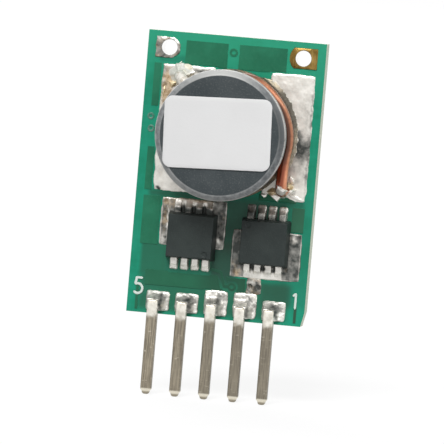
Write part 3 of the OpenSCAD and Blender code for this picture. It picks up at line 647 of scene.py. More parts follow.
def paint_wire(at):
    """Enamelled copper: salmon under a clear brown coat, darker in streaks. Painted light makes it paler low
    down, and painted shade darkens the outer lead where it lies under the upper flange.
    """
    cloud = noise(at, 1.4)
    streak = noise(at, 5.0)
    _, _, z = parts(at)
    copper = tones(cloud, (0.38, 0.14, 0.065), (0.53, 0.235, 0.125))
    copper = tint(smooth(streak, 0.5, 0.75) * 0.6, copper, (0.2, 0.055, 0.022))
    # Painted light: paler low down.
    copper = tint(smooth(z, 9.9, 8.7) * 0.6, copper, (0.8, 0.33, 0.18))
    # Painted shade where the outer lead lies under the upper flange, darkest high up.
    shade = tint(smooth(z, 10.3, 9.3), (0.07, 0.026, 0.016), (0.26, 0.05, 0.018))
    copper = tint(attribute(at, "deep") * 0.92, copper, shade)
    tin = smooth(attribute(at, "tinned") + (cloud - 0.5) * 0.6, 0.35, 0.6)
    pale = tint(smooth(streak, 0.4, 0.7), (0.74, 0.72, 0.66), (0.5, 0.46, 0.38))
    return {
        "Base Color": tint(tin, copper, pale),
        "Metallic": 0.75 - tin * 0.6,
        "Roughness": 0.3 + streak * 0.12 + tin * 0.2,
        "Normal": bumped(streak * 0.5 + cloud, 0.01),
    }


def paint_flux(pale, deep, speck, metal):
    """A paint for hardened flux: clouds of a pale and a deep colour, specks of a third, and a share of metal
    showing through."""
    def paint(at):
        cloud = noise(at, 1.9, 3.0, 0.6)
        grain = noise(at, 6.0)
        body = tint(smooth(cloud, 0.4, 0.65), pale, deep)
        return {
            "Base Color": tint(smooth(grain, 0.55, 0.7) * 0.35, body, speck),
            "Metallic": metal,
            "Roughness": 0.35 + grain * 0.15,
            "Normal": bumped(grain + cloud, 0.015),
        }

    return paint


def paint_residue(at):
    """Burnt flux and grit: dark against the core, which is painted shade, then tan or scorched grey, and
    pale where it runs out.
    """
    grit = noise(at, 4.0, 4.0, 0.7)
    toe = attribute(at, "toe")
    mid = tint(attribute(at, "burnt"), (0.7, 0.6, 0.44), (0.1, 0.088, 0.066))
    mid = tint(smooth(grit, 0.5, 0.66) * 0.7, mid, (0.06, 0.05, 0.037))
    # Painted shade: dark against the core.
    brown = tint(smooth(toe + (grit - 0.5) * 0.5, 0.12, 0.4), (0.05, 0.034, 0.02), mid)
    return {
        "Base Color": tint(smooth(toe + (grit - 0.5) * 1.3, 0.7, 1.0), brown, (0.7, 0.68, 0.62)),
        "Roughness": 0.5 + grit * 0.2,
        "Normal": bumped(grit, 0.04),
    }


def paint_paper(at):
    """Matt white label stock with a faint fibre."""
    fibre = noise(stretched(at, 5, 5, 9), 1.0)
    cloud = noise(at, 0.3, 2.0)
    white = tones(cloud, (0.735, 0.735, 0.735), (0.76, 0.76, 0.762))
    return {
        "Base Color": tint(smooth(fibre, 0.55, 0.8) * 0.25, white, (0.68, 0.68, 0.68)),
        "Roughness": 0.62 + fibre * 0.1,
        "Normal": bumped(fibre, 0.004),
    }


def paint_moulding(at):
    """Black epoxy moulding: dark grey, evenly pitted by the mould."""
    pit = noise(at, 13.0, 2.0)
    cloud = noise(at, 0.8)
    black = tones(cloud, (0.011, 0.017, 0.016), (0.02, 0.028, 0.026))
    return {
        "Base Color": flecked(black, pit, (0.04, 0.05, 0.047), 0.4),
        "Roughness": 0.44 + pit * 0.16,
        "Normal": bumped(pit + cloud * 0.4, 0.01),
    }


def paint_ceramic(at):
    """Fired capacitor ceramic: tan brown, finely grained."""
    grain = noise(at, 9.0)
    cloud = noise(at, 1.1)
    tan = tones(cloud, (0.3, 0.195, 0.115), (0.4, 0.275, 0.17))
    return {
        "Base Color": flecked(tan, grain, (0.24, 0.15, 0.085), 0.4),
        "Roughness": 0.4 + grain * 0.15,
        "Normal": bumped(grain + cloud * 0.5, 0.008),
    }


def paint_film(at):
    """Black glaze over white alumina, which shows on the resistor's sides."""
    grain = noise(at, 9.0, 2.0)
    glaze = smooth(facing(at), 0.55, 0.8)
    alumina = tint(smooth(grain, 0.4, 0.7), (0.62, 0.61, 0.58), (0.74, 0.73, 0.7))
    black = tones(noise(at, 2.0), (0.008, 0.008, 0.01), (0.02, 0.02, 0.022))
    return {
        "Base Color": tint(glaze, alumina, black),
        "Roughness": 0.5 - glaze * 0.25 + grain * 0.08,
        "Normal": bumped(grain, 0.006),
    }


def paint_via_mask(at):
    """Mask drawn thin over a via's edge: paler and greyer than the board."""
    cloud = noise(at, 4.0)
    return {
        "Base Color": tint(smooth(cloud, 0.35, 0.65), (0.05, 0.2, 0.14), (0.13, 0.27, 0.21)),
        "Roughness": 0.3 + cloud * 0.1,
    }


def paint_ink(at):
    """White legend ink, a little thin in places."""
    worn = noise(at, 5.0)
    return {
        "Base Color": tint(smooth(worn, 0.5, 0.8) * 0.5, (0.66, 0.74, 0.69), (0.4, 0.58, 0.48)),
        "Roughness": 0.5 + worn * 0.15,
        "Normal": bumped(worn, 0.006),
    }


laminate = finish("laminate", paint_laminate, Specular_IOR_Level=0.22)
masked_copper = finish("masked_copper", paint_masked_copper, Specular_IOR_Level=0.22)
solder = finish("solder", paint_solder)
tinned = finish("tinned", paint_tinned, Metallic=1.0)
lead_tin = finish("lead_tin", paint_lead, Metallic=0.9)
bright_tin = finish("bright_tin", paint_bright_tin, Metallic=1.0)
bare_copper = finish("bare_copper", paint_bare_copper, Metallic=0.8)
pin_tin = finish("pin_tin", paint_pin)
ferrite = finish("ferrite", paint_ferrite, Specular_IOR_Level=0.38)
enamelled_wire = finish("enamelled_wire", paint_wire, Coat_Weight=0.4, Coat_Roughness=0.15)
white_flux = finish("white_flux", paint_flux((0.9, 0.88, 0.8), (0.74, 0.7, 0.56), (0.6, 0.52, 0.36), 0.0))
amber_flux = finish("amber_flux", paint_flux((0.86, 0.72, 0.47), (0.64, 0.5, 0.29), (0.9, 0.83, 0.66), 0.5))
residue = finish("residue", paint_residue)
paper = finish("paper", paint_paper, Specular_IOR_Level=0.2)
moulding = finish("moulding", paint_moulding, Specular_IOR_Level=0.3)
ceramic = finish("ceramic", paint_ceramic, Specular_IOR_Level=0.4)
film = finish("film", paint_film)
via_mask = finish("via_mask", paint_via_mask, Specular_IOR_Level=0.3)
ink = finish("ink", paint_ink, Specular_IOR_Level=0.25)

# Pieces


def piece(name, surfaces, material, slot, *nodes, carries=None):
    """One object from closed surfaces. It rides on the body, stands for nodes, and carries numbers on its
    points, each a function of those points."""
    starts = np.cumsum([0] + [len(points) for points, _, _ in surfaces])
    points = np.concatenate([points for points, _, _ in surfaces])
    faces = []
    for start, (_, quads, triangles) in zip(starts, surfaces):
        faces += (quads + start).tolist() + (triangles + start).tolist()
    mesh = bpy.data.meshes.new(name)
    mesh.from_pydata((points * MM).tolist(), [], faces)
    mesh.shade_smooth()
    mesh.set_sharp_from_angle(angle=math.radians(50))
    for key, field in (carries or {}).items():
        carried = mesh.attributes.new(key, "FLOAT", "POINT")
        carried.data.foreach_set("value", field(points).astype(np.float32))
    mesh.materials.append(material)
    made = bpy.data.objects.new(name, mesh)
    bpy.context.scene.collection.objects.link(made)
    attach(made, "root")
    if nodes:
        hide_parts(*nodes)


def dress(node, material):
    """Gives a node that stays as it is its finish."""
    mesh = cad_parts[node].data
    mesh.materials.clear()
    mesh.materials.append(material)


# The most that darkening and flux stains reach.
MOST_MARKED = 1.3


def stains_and_light(dull_all, flux_all=0.0, mottle=0.0, dull=(), flux=(), rim=None):
    """What a solder surface carries: how dark and how stained with flux it is, overall, in mottles, in
    patches, each given as (x, z, width, height, strength), and in a bright line along an area's rim.
    Darkening is dull solder in some patches and painted shade in others; a patch below 0 is lighter, and
    some of those are painted highlights."""
    def dullness(points):
        x, z = points[:, 0], points[:, 2]
        field = dull_all + mottle * ripples(x, z, 0.9, 2) + spots(points, dull)
        if rim is not None:
            x0, z0, x1, z1 = rim
            inside = np.min([x - x0, x1 - x, z - z0, z1 - z], axis=0)
            field = field - 0.4 * np.exp(-((inside - 0.05) / 0.03) ** 2)
        return np.clip(field, 0, MOST_MARKED)

    def fluxed(points):
        return np.clip(flux_all + spots(points, flux), 0, MOST_MARKED)

    return {"dull": dullness, "flux": fluxed}


# Board and copper

dress("circuit_board", laminate)
dress("front_copper", masked_copper)
dress("back_copper", masked_copper)

# Lands under the coil

# Marks on the coil's lands. On the left one, the bright line along its top by the flange is a painted
# highlight, and the grey band where the flange meets it is painted shade.
COIL_LAND_STAINS_AND_LIGHT = {
    "left": dict(
        dull_all=0.25,
        flux=[(-3.7, 14.6, 0.8, 0.6, 0.62), (-3.8, 13.3, 0.5, 0.9, 0.85), (-3.9, 8.6, 0.5, 0.9, 0.2)],
        dull=[(-3.7, 14.7, 0.7, 0.6, 0.25), (-4.0, 13.95, 0.16, 0.16, 0.6), (-3.88, 7.65, 0.13, 0.1, 1.0),
              (-1.7, 15.12, 0.7, 0.1, -0.3), (-1.7, 14.9, 0.9, 0.16, 0.5)],
    ),
    "right": dict(
        dull_all=0.15, mottle=0.08,
        flux=[(4.3, 9.4, 0.6, 0.8, 0.1), (3.4, 7.8, 0.9, 0.4, 0.5)],
        dull=[(4.7, 10.75, 0.65, 0.7, 0.85), (4.35, 11.55, 0.22, 0.45, 0.6), (4.5, 10.4, 0.3, 0.25, 0.2),
              (4.6, 9.2, 0.7, 0.9, 0.22), (4.8, 12.9, 0.35, 1.0, 0.2), (5.12, 12.5, 0.1, 2.4, 0.35),
              (5.1, 8.9, 0.1, 1.2, 0.3)],
    ),
}


def coil_land(side, x0, x1, seed, wander):
    """A land under the coil, between two places across."""
    low = coil_z + coil_land_up - flange_r + coil_land_short
    high = coil_z + coil_land_up + flange_r - coil_land_short
    sheet = puddle((x0, low, x1, high), land_t, seed=seed, wander=wander, relief=0.006, steps=(64, 110))
    piece(f"{side}_coil_land", [sheet], solder, "tinned_land", "front_lands",
          carries=stains_and_light(**COIL_LAND_STAINS_AND_LIGHT[side]))


left_land_x = coil_x - flange_r - left_coil_reach
right_land_x = coil_x + flange_r + right_coil_reach
coil_land("left", left_land_x, left_land_x + left_coil_land_w, seed=1, wander=0.05)
coil_land("right", right_land_x - right_coil_land_w, right_land_x, seed=2, wander=0.035)

# Transistors, their lands and their solder

transistors = {side: middle_and_size(f"{side}_transistor_body") for side in SIDES}

# The solder on a lead: its width beside the lead, its height over the lead and between leads, how far it
# runs under the body and past the land's sides, and how far it stays short of the land's end
lead_fillet_w, lead_cover, between_leads = 0.08, 0.03, 0.05
pool_tuck, pool_past, pool_short = 0.15, 0.03, {"left": 0.14, "right": 0.0}

# Marks on the drain lands. On the left one, the bright line along its top is a painted highlight, and the
# darker strip right of the body is painted shade.
DRAIN_STAINS_AND_LIGHT = {
    "left": dict(
        dull_all=0.7, flux_all=0.15,
        flux=[(-3.35, 5.9, 0.2, 1.0, 0.35), (-2.6, 6.9, 1.2, 0.3, 0.3)],
        dull=[(0.2, 5.8, 0.5, 1.3, 0.2), (0.08, 4.72, 0.13, 0.15, -0.8), (-3.4, 4.5, 0.2, 0.3, -0.25),
              (-3.35, 5.9, 0.15, 1.2, 0.25), (-3.13, 5.9, 0.04, 0.8, -0.6), (-2.6, 7.1, 1.2, 0.1, -0.4),
              (-3.2, 4.7, 0.07, 0.1, 0.6)],
    ),
    "right": dict(
        dull_all=0.9, flux_all=0.15,
        flux=[(1.35, 3.0, 0.3, 0.3, 0.45)],
        dull=[(2.9, 2.85, 1.3, 0.3, -0.95), (4.68, 5.2, 0.13, 0.22, -0.6), (1.3, 4.0, 0.3, 1.0, 0.08),
              (4.25, 3.1, 0.25, 0.3, 0.25)],
    ),
}
# Marks on the leads' solder: painted shade along the bodies, and on the right, painted shade from the coil
# over the upper leads.
LEAD_STAINS_AND_SHADE = {
    "left": dict(
        dull_all=0.12, flux_all=0.1,
        flux=[(-1.2, 7.12, 1.6, 0.2, 0.45)],
        dull=[(-1.2, 6.42, 2.2, 0.24, 1.0)],
    ),
    "right": dict(
        dull_all=0.1, flux_all=0.08,
        dull=[(1.9, 6.8, 0.5, 0.5, 0.8), (2.6, 6.8, 0.4, 0.5, 0.45), (3.3, 6.8, 0.3, 0.5, 0.4),
              (3.9, 6.8, 0.35, 0.5, 0.4), (3.0, 6.2, 1.8, 0.3, 0.6)],
    ),
}


def lead_x(k):
    """A lead's place along its row."""
    return (k - (lead_count - 1) / 2) * lead_pitch


def at_transistor(side, x0, z0, x1, z1):
    """An area given from a transistor's middle, which is turned half round on the left one."""
    (x, _, z), _ = transistors[side]
    xs = sorted([x + SIDE_SIGN[side] * x0, x + SIDE_SIGN[side] * x1])
    zs = sorted([z + SIDE_SIGN[side] * z0, z + SIDE_SIGN[side] * z1])
    return xs[0], zs[0], xs[1], zs[1]


def drain_land(side):
    """The wide land under a transistor, dull but for a bright line along its rim."""
    _, (w, _, h) = transistors[side]
    area = at_transistor(side, -w / 2 - drain_near_side, -h / 2 - lead_land_reach,
                         w / 2 + drain_far_side[side], drain_past)
    sheet = puddle(area, land_t, seed=4 + SIDE_SIGN[side], wander=0.03, steps=(80, 60), grain=0.7)
    piece(f"{side}_drain_land", [sheet], solder, "tinned_land", "front_lands",
          carries=stains_and_light(mottle=0.15, rim=area, **DRAIN_STAINS_AND_LIGHT[side]))


def lead_solder(side):
    """Solder on a transistor's leads: a pool on each lead's own land, and one along the drain's leads."""
    (body_x, _, body_z), (_, _, h) = transistors[side]
    start, end = h / 2 - pool_tuck, h / 2 + lead_land_reach

    def rise(x, z):
        """Solder stands as high as a lead over its width and its reach, then hollows down to the land."""
        across = np.min([np.abs(x - body_x - lead_x(k)) for k in range(lead_count)], axis=0)
        over = 1 - ease((across - lead_w / 2) / lead_fillet_w)
        past = (np.abs(z - body_z) - h / 2 - lead_reach) / (lead_land_reach - lead_reach)
        left = 1 - np.clip(past, 0, 1)
        return (lead_t + lead_cover) * over * left ** 2 + between_leads * (1 - over) * left

    pools = []
    half = lead_land_w / 2 + pool_past
    for k in range(lead_count):
        area = at_transistor(side, lead_x(k) - half, start, lead_x(k) + half, end - pool_short[side])
        pools.append(puddle(area, land_t, seed=11 + k, edge=0.12, wander=0.02, steps=(28, 40), rise=rise))
    span = lead_x(lead_count - 1) + lead_land_w / 2
    area = at_transistor(side, -span, -end, span, -start)
    pools.append(puddle(area, lead_pool_t, seed=17, edge=0.09, wander=0.012, steps=(110, 40), rise=rise))
    # Painted shade in the gaps between the leads, next to the body.
    gap_z = body_z - SIDE_SIGN[side] * (h / 2 + 0.12)
    shaded_gaps = [(body_x + k * lead_pitch, gap_z, 0.13, 0.24, 1.2) for k in (-1, 0, 1)]
    marks = dict(LEAD_STAINS_AND_SHADE[side])
    marks["dull"] = marks["dull"] + shaded_gaps
    piece(f"{side}_lead_solder", pools, solder, "solder", f"{side}_transistor_solder",
          carries=stains_and_light(mottle=0.12, **marks))


def transistor(side):
    """A transistor's moulding, with a dimple by its first lead."""
    (x, _, z), (w, t, h) = transistors[side]
    dimple = (SIDE_SIGN[side] * lead_x(0), SIDE_SIGN[side] * (h / 2 - lead_root))
    body = block((x, z), w, h, land_t, land_t + t, draft=0.12, edge=0.05, dimple=dimple)
    piece(f"{side}_transistor", [body], moulding, "moulding", f"{side}_transistor_body")


for side in SIDES:
    drain_land(side)
    lead_solder(side)
    transistor(side)
    dress(f"{side}_transistor_leads", lead_tin)

# The neck between the right drain land and the land of pin 2, with two vias in it

pins = {i: middle_and_size(f"pin_{i}") for i in pin_land_tops}
neck_right = pins[2][0][0] + pin_offset + pin_land_w / 2 + (pin_pitch - pin_land_w) / 2
neck_low = pin_land_tops[2]
neck_high = transistors["right"][0][2] - transistors["right"][1][2] / 2 - lead_land_reach
neck_via_xs = [neck_right - neck_w * share for share in (0.25, 0.75)]
neck_via_z = (neck_low + neck_high) / 2


def via_dip(x, z):
    """Two round hollows, each flat over half its radius."""
    away = np.min([np.hypot(x - via_x, z - neck_via_z) for via_x in neck_via_xs], axis=0)
    return -neck_via_depth * (1 - ease(2 * away / neck_via_r - 1))


neck_area = (neck_right - neck_w, neck_low - neck_lap, neck_right, neck_high + neck_lap)
neck = puddle(neck_area, land_t, seed=23, wander=0.05, relief=0.015, steps=(60, 60), grain=0.5, rise=via_dip)
piece("via_neck", [neck], solder, "tinned_land", "front_lands",
      carries=stains_and_light(dull_all=0.6, flux_all=0.35, mottle=0.25,
                     dull=[(via_x, neck_via_z, 0.17, 0.17, 1.0) for via_x in neck_via_xs]
                          + [(neck_right - 0.3, neck_low, 0.2, 0.25, 0.6)]))

# Pins, their lands and the solder that holds them

# How dark each pin's solder is over the pin's end, which is painted shade, and beside it
PIN_DARKENING = {1: (0.5, 0.4), 2: (0.0, 0.35), 3: (0.35, 0.5), 4: (0.2, 0.5), 5: (0.1, 0.45)}

# A pin's ends, as half widths and distances from the end: a shouldered tip and a rounded head
PIN_TIP = [(0.07, 0.0), (0.13, 0.01), (0.18, 0.04), (0.21, 0.09), (0.23, 0.16), (0.245, 0.215),
           (0.268, 0.245), (0.3, 0.28), (0.315, 0.31), (0.32, 0.345), (0.32, 0.6)]
PIN_HEAD = [(0.32, 0.3), (0.318, 0.12), (0.3, 0.05), (0.26, 0.012), (0.2, 0.0)]
pin_corner_r = 0.1

# The solder against a pin: its reach beside the pin and past its end, its share of the pin's height, and
# the power that hollows it out
pin_fillet_w, pin_fillet_h, pin_wetting, pin_hollowing = 0.45, 0.5, 0.85, 1.6


def pin_land(i):
    """The area of a pin's land."""
    middle = pins[i][0][0] + pin_offset
    return middle - pin_land_w / 2, pin_land_low, middle + pin_land_w / 2, pin_land_tops[i]


def pin_fillet(i):
    """The solder that holds a pin."""
    (pin_x, _, _), (pin_w, _, _) = pins[i]
    pin_top = front_y - corners(f"pin_{i}")[0][1]

    def rise(x, z):
        """Solder stands against the pin's sides and end, and hollows down to the land."""
        beside = np.clip(np.abs(x - pin_x) - pin_w / 2, 0, None)
        above = np.clip(z - pin_lap, 0, None)
        climb = np.clip(1 - np.hypot(beside / pin_fillet_w, above / pin_fillet_h), 0, 1) ** pin_hollowing
        uneven = 0.03 * ripples(x, z, 1.0, i)
        return pin_wetting * (pin_top - land_t) * climb + uneven * (1 - climb)

    pool = puddle(pin_land(i), pin_pool_t, seed=40 + i, edge=0.12, relief=0.006, steps=(64, 64), grain=1.0,
                  rise=rise)
    top = pin_land_tops[i]
    end_darkening, side_darkening = PIN_DARKENING[i]
    # Darker by the pin's foot and side and over its end, the last as painted shade; lighter at the land's
    # top left and along its top edge as painted highlights.
    dull = [(0.42, 0.6, 0.1, 0.35, 0.45), (0.5, top - 0.38, 0.3, 0.25, side_darkening),
            (0.1, pin_lap + 0.15, 0.4, 0.16, end_darkening), (-0.3, top - 0.1, 0.22, 0.16, -0.4),
            (0.2, top - 0.06, 0.7, 0.07, -0.4), (0.7, 0.42, 0.16, 0.2, -0.3)]
    piece(f"pin_{i}_fillet", [pool], solder, "solder", f"pin_{i}_solder",
          carries=stains_and_light(dull_all=0.3, mottle=0.22, dull=[(pin_x + x, *mark) for x, *mark in dull],
                         flux=[(pin_x + 0.6, 0.5, 0.25, 0.3, 0.25)]))


def pin_bar(i):
    """A square pin: squares with rounded corners from its tip to its head."""
    low, high = corners(f"pin_{i}")
    x, y, _ = pins[i][0]
    stations = [(half, low[2] + up) for half, up in PIN_TIP]
    stations += [(half, high[2] - down) for half, down in PIN_HEAD]
    loops = []
    for half, z in stations:
        loop = rounded_loop(2 * half, 2 * half, min(pin_corner_r, half * 0.6))
        loops.append(np.stack([x + loop[:, 0], y + loop[:, 1], np.full(len(loop), z)], -1))
    piece(f"pin_{i}_bar", [loft(loops)], pin_tin, "pin_tin", f"pin_{i}")


for i in pins:
    pin_fillet(i)
    pin_bar(i)
pin_lands = [puddle(pin_land(i), land_t, seed=30 + i, edge=0.1, wander=0.02) for i in pins]
piece("pin_lands", pin_lands, solder, "tinned_land", "front_lands",
      carries=stains_and_light(dull_all=0.2, mottle=0.25))

# Plated holes


def hole_centre(side):
    """A plated hole's place on the board."""
    edge_x = {"left": board_low[0], "right": board_high[0]}[side]
    return edge_x - SIDE_SIGN[side] * hole_inset, board_high[2] - hole_margin - hole_ring - hole_r


def eyelet(side, lip=0.03, roughness=0.0):
    """A plated hole: a section that runs round the hole, out over the front land, back through the hole
    as a thin lining and out over the back land. The lands reach as far as their outline at each angle."""
    x, z = hole_centre(side)
    out, half = hole_r + hole_land_out, hole_r + hole_ring
    inner = hole_r + hole_land_in[side]
    corner = math.atan2(half, out)
    turn = np.linspace(-np.pi, np.pi, 96, endpoint=False)
    turn = np.sort(np.concatenate([turn, [corner, -corner]]))
    c, s = np.cos(turn), np.sin(turn)
    flat = half / np.maximum(np.abs(s), 1e-6)
    reach = np.minimum(np.where(c > 0, out / np.maximum(c, 1e-6), inner), flat)
    reach = reach + roughness * ripples(c, s, 0.8, 5)
    wall = np.full_like(turn, hole_r)
    bore = wall - hole_lining_t
    level = 0 * turn
    front = land_t * (1 + 6 * roughness * ripples(c * 2, s * 2, 0.9, 2))
    laminate_back = level - board_t
    back = laminate_back - land_t
    section = [
        (bore, front - lip), (bore + lip / 2, front), (reach - lip, front), (reach, front - lip),
        (reach, level), (wall, level), (wall, laminate_back), (reach, laminate_back),
        (reach, back + lip), (reach - lip, back), (bore + lip / 2, back), (bore, back + lip),
    ]
    return hoop([on_board(x + SIDE_SIGN[side] * r * c, z + r * s, h) for r, h in section])


def hole_lining(side, thick=0.015, past=0.005):
    """A bright sleeve in a plated hole: a thin ring from land to land."""
    x, z = hole_centre(side)
    turn = np.linspace(0, 2 * np.pi, 96, endpoint=False)
    outer = hole_r - hole_lining_t
    front, back = land_t + past, -board_t - land_t - past
    section = [(outer, front), (outer, back), (outer - thick, back), (outer - thick, front)]
    return hoop([on_board(x + r * np.cos(turn), z + r * np.sin(turn), h) for r, h in section])


piece("left_hole_plating", [eyelet("left", roughness=0.03)], solder, "tinned_land", "left_hole_lands",
      carries=stains_and_light(dull_all=0.65, flux_all=0.35, mottle=0.4,
                     dull=[(-3.9, 16.85, 0.9, 0.1, -0.8), (-3.4, 16.7, 0.2, 0.2, -0.9)]))
piece("right_hole_plating", [eyelet("right")], bare_copper, "bare_copper", "right_hole_lands")
piece("hole_linings", [hole_lining(side) for side in SIDES], bright_tin, "tinned_land")

# Coil


def circle_loops(profile, sides=160):
    """Rings round the coil's axis, one for each (radius, height) of a profile."""
    turn = np.linspace(0, 2 * np.pi, sides, endpoint=False)
    return [on_board(coil_x + r * np.cos(turn), coil_z + r * np.sin(turn), h) for r, h in profile]


def arc(centre, r, start, end, steps=5):
    """Points on an arc in a section, between two angles in degrees."""
    angles = np.radians(np.linspace(start, end, steps))
    return [(centre[0] + r * math.cos(a), centre[1] + r * math.sin(a)) for a in angles]


spool_floor = land_t + lower_flange_t
spool_top = core_top - upper_flange_t
flange_round, post_round, rim_w = 0.07, 0.1, 0.32
flat_r, underside_fan_r, face_fan_r = flange_r - 0.2, 0.5, 3.0

# The ground rim from the flange's side to its face: distances in from the side and down from the face
RIM_SECTION = [(0.0, rim_w + 0.06), (0.008, rim_w), (0.03, rim_w - 0.04), (0.06, rim_w - 0.078),
               (rim_w / 2, rim_w / 2 - 0.02), (rim_w - 0.06, 0.045), (rim_w - 0.02, 0.02),
               (rim_w + 0.02, 0.005), (rim_w + 0.06, 0.0)]


def drum_profile():
    """The core's section from the middle of its underside to the middle of its face: a thin flange, the post
    and a thick flange, with rounded corners and a ground rim."""
    side_r, post_side = flange_r - flange_round, post_r + post_round
    profile = [(underside_fan_r, land_t), (flat_r, land_t)]
    profile += arc((side_r, land_t + flange_round), flange_round, -90, 0)
    profile += arc((side_r, spool_floor - flange_round), flange_round, 0, 90)
    profile += [(flat_r, spool_floor), (post_side, spool_floor)]
    profile += arc((post_side, spool_floor + post_round), post_round, -90, -180)
    profile += arc((post_side, spool_top - post_round), post_round, 180, 90)
    profile += [(flat_r, spool_top)]
    profile += arc((side_r, spool_top + flange_round), flange_round, -90, 0)
    profile += [(flange_r - inward, core_top - down) for inward, down in RIM_SECTION]
    return profile + [(face_fan_r, core_top)]


def from_axis(points):
    """Distance from the coil's axis, and height above the board's front."""
    return np.hypot(points[:, 0] - coil_x, points[:, 2] - coil_z), front_y - points[:, 1]


def angle_of(points):
    """The angle about the coil's axis, in degrees from the right."""
    return np.degrees(np.arctan2(points[:, 2] - coil_z, points[:, 0] - coil_x))


def towards(points, degrees, spread):
    """1 towards one side of the coil, fading as a bell curve over a spread in degrees."""
    return np.exp(-((angle_of(points) - degrees) / spread) ** 2)


def rim_mask(points):
    """1 on the ground slope and side of the outer flange's rim, 0 elsewhere."""
    r, up = from_axis(points)
    return ease((r - flange_r + rim_w + 0.05) / 0.04) * ease((up - spool_top + 0.05) / 0.05)


def edge_mask(points):
    """Where the rim's edges carry pale chips and a painted highlight line: 1 along the outer edge of the
    rim's slope, faint along its inner edge, and weaker towards the top.
    """
    r, up = from_axis(points)
    inner = np.exp(-((r - flange_r + rim_w) / 0.03) ** 2)
    outer = np.exp(-((r - flange_r) / 0.04) ** 2) * np.exp(-((up - core_top + rim_w) / 0.1) ** 2)
    return np.clip(0.12 * inner + outer, 0, 1) * (up > spool_top) * (1 - 0.8 * towards(points, 95, 34))


def residue_mask(points):
    """1 on the lower flange, falling away into the spool."""
    r, up = from_axis(points)
    return ease((spool_floor + 0.1 - up) / 0.1) * ease((r - flange_r + 0.7) / 0.4)


def rim_highlight_mask(points):
    """Where the rim carries a painted highlight: most at its top, and a little at its lower left."""
    return towards(points, 95, 34) + 0.3 * towards(points, -120, 50)


def rim_shade_mask(points):
    """Where the rim carries painted shade: most at its right."""
    return towards(points, 14, 34)


piece("drum_core", [loft(circle_loops(drum_profile()))], ferrite, "ferrite", "coil_core",
      carries={"ground": rim_mask, "edge": edge_mask, "residue": residue_mask, "polished": rim_highlight_mask,
               "sooty": rim_shade_mask})

# The residue by the lower flange: its usual reach and height, and the reach at which it is palest
skirt_reach, skirt_h, skirt_toe_w = 0.3, 0.45, 0.34


def residue_skirt(start, end, steps):
    """Gritty residue against the lower flange: a section that leans on the flange, carried round from one
    angle to another, with its reach and height uneven and both dying out at its ends."""
    angle = np.radians(np.linspace(start, end, steps))
    share = np.linspace(0, 1, steps)
    dying = ease(np.minimum(share, 1 - share) / 0.12)
    reach = 0.02 + (skirt_reach + 0.09 * ripples(angle * flange_r, 0, 0.9, 4)) * dying
    top = 0.08 + (skirt_h + 0.16 * ripples(angle * flange_r, 1, 0.9, 7)) * dying
    section = [(-0.05, 0.0), (-0.05, 1.0), (0.1, 0.97), (0.3, 0.6), (0.55, 0.3), (0.8, 0.1), (1.0, 0.0)]
    loops = []
    for out, up in section:
        r = flange_r + np.where(out < 0, out, out * reach)
        h = land_t * 0.6 + up * top
        loops.append(on_board(coil_x + r * np.cos(angle), coil_z + r * np.sin(angle), h))
    return loft(np.stack(loops, 1))


def skirt_toe(points):
    """From 0 at the flange to 1 at the residue's furthest reach."""
    r, _ = from_axis(points)
    return np.clip((r - flange_r) / skirt_toe_w, 0, 1)


def scorched(points):
    """1 where the residue is burnt, by its angle about the coil: most on the right, above the middle."""
    angle = angle_of(points)
    return ease((52 - angle) / 12) * (0.45 + 0.55 * ease((angle - 2) / 12))


piece("core_residue", [residue_skirt(66, -34, 320)], residue, "ferrite",
      carries={"toe": skirt_toe, "burnt": scorched})

# The wire's course: where it starts and ends about the axis, and the angles that its stretches take
coil_start, coil_end = 134, -35
entry_arc, exit_arc, drop_arc, out_arc = 20, 50, 70, 24
helix_arc = coil_start - entry_arc - (coil_end + out_arc + drop_arc + exit_arc) + 360 * (wire_rows - 1)
coil_arc = entry_arc + helix_arc + exit_arc + drop_arc + out_arc

# Distances from the axis of the outer lead, the turns, the first leg and the lead's end, the heights of the
# lowest and the highest turn, the radius of a bend, and the angle at which the lead swings out at its end
lead_r = flange_r + lead_proud - wire_r
turn_r = lead_r - 2 * wire_r - wire_gap
leg_r = flange_r + leg_gap + wire_r
end_r = leg_r - wire_r / 2
turn_low, turn_high = spool_floor + wire_gap + wire_r, spool_top - wire_gap - wire_r
bend_r = 1.8 * wire_r
swing = math.degrees(math.atan(2 * (end_r - lead_r) / math.radians(out_arc) / end_r))


def around(r, degrees, height):
    """Places about the coil's axis, as across, up and above the board."""
    turn = np.radians(degrees)
    return np.stack(np.broadcast_arrays(r * np.cos(turn), r * np.sin(turn), height), -1)


end_way = around(1.0, coil_end - 90 + swing, 0.0)
feet = {"left": around(leg_r, coil_start, land_t),
        "right": around(end_r, coil_end, land_t) + bend_r * end_way}


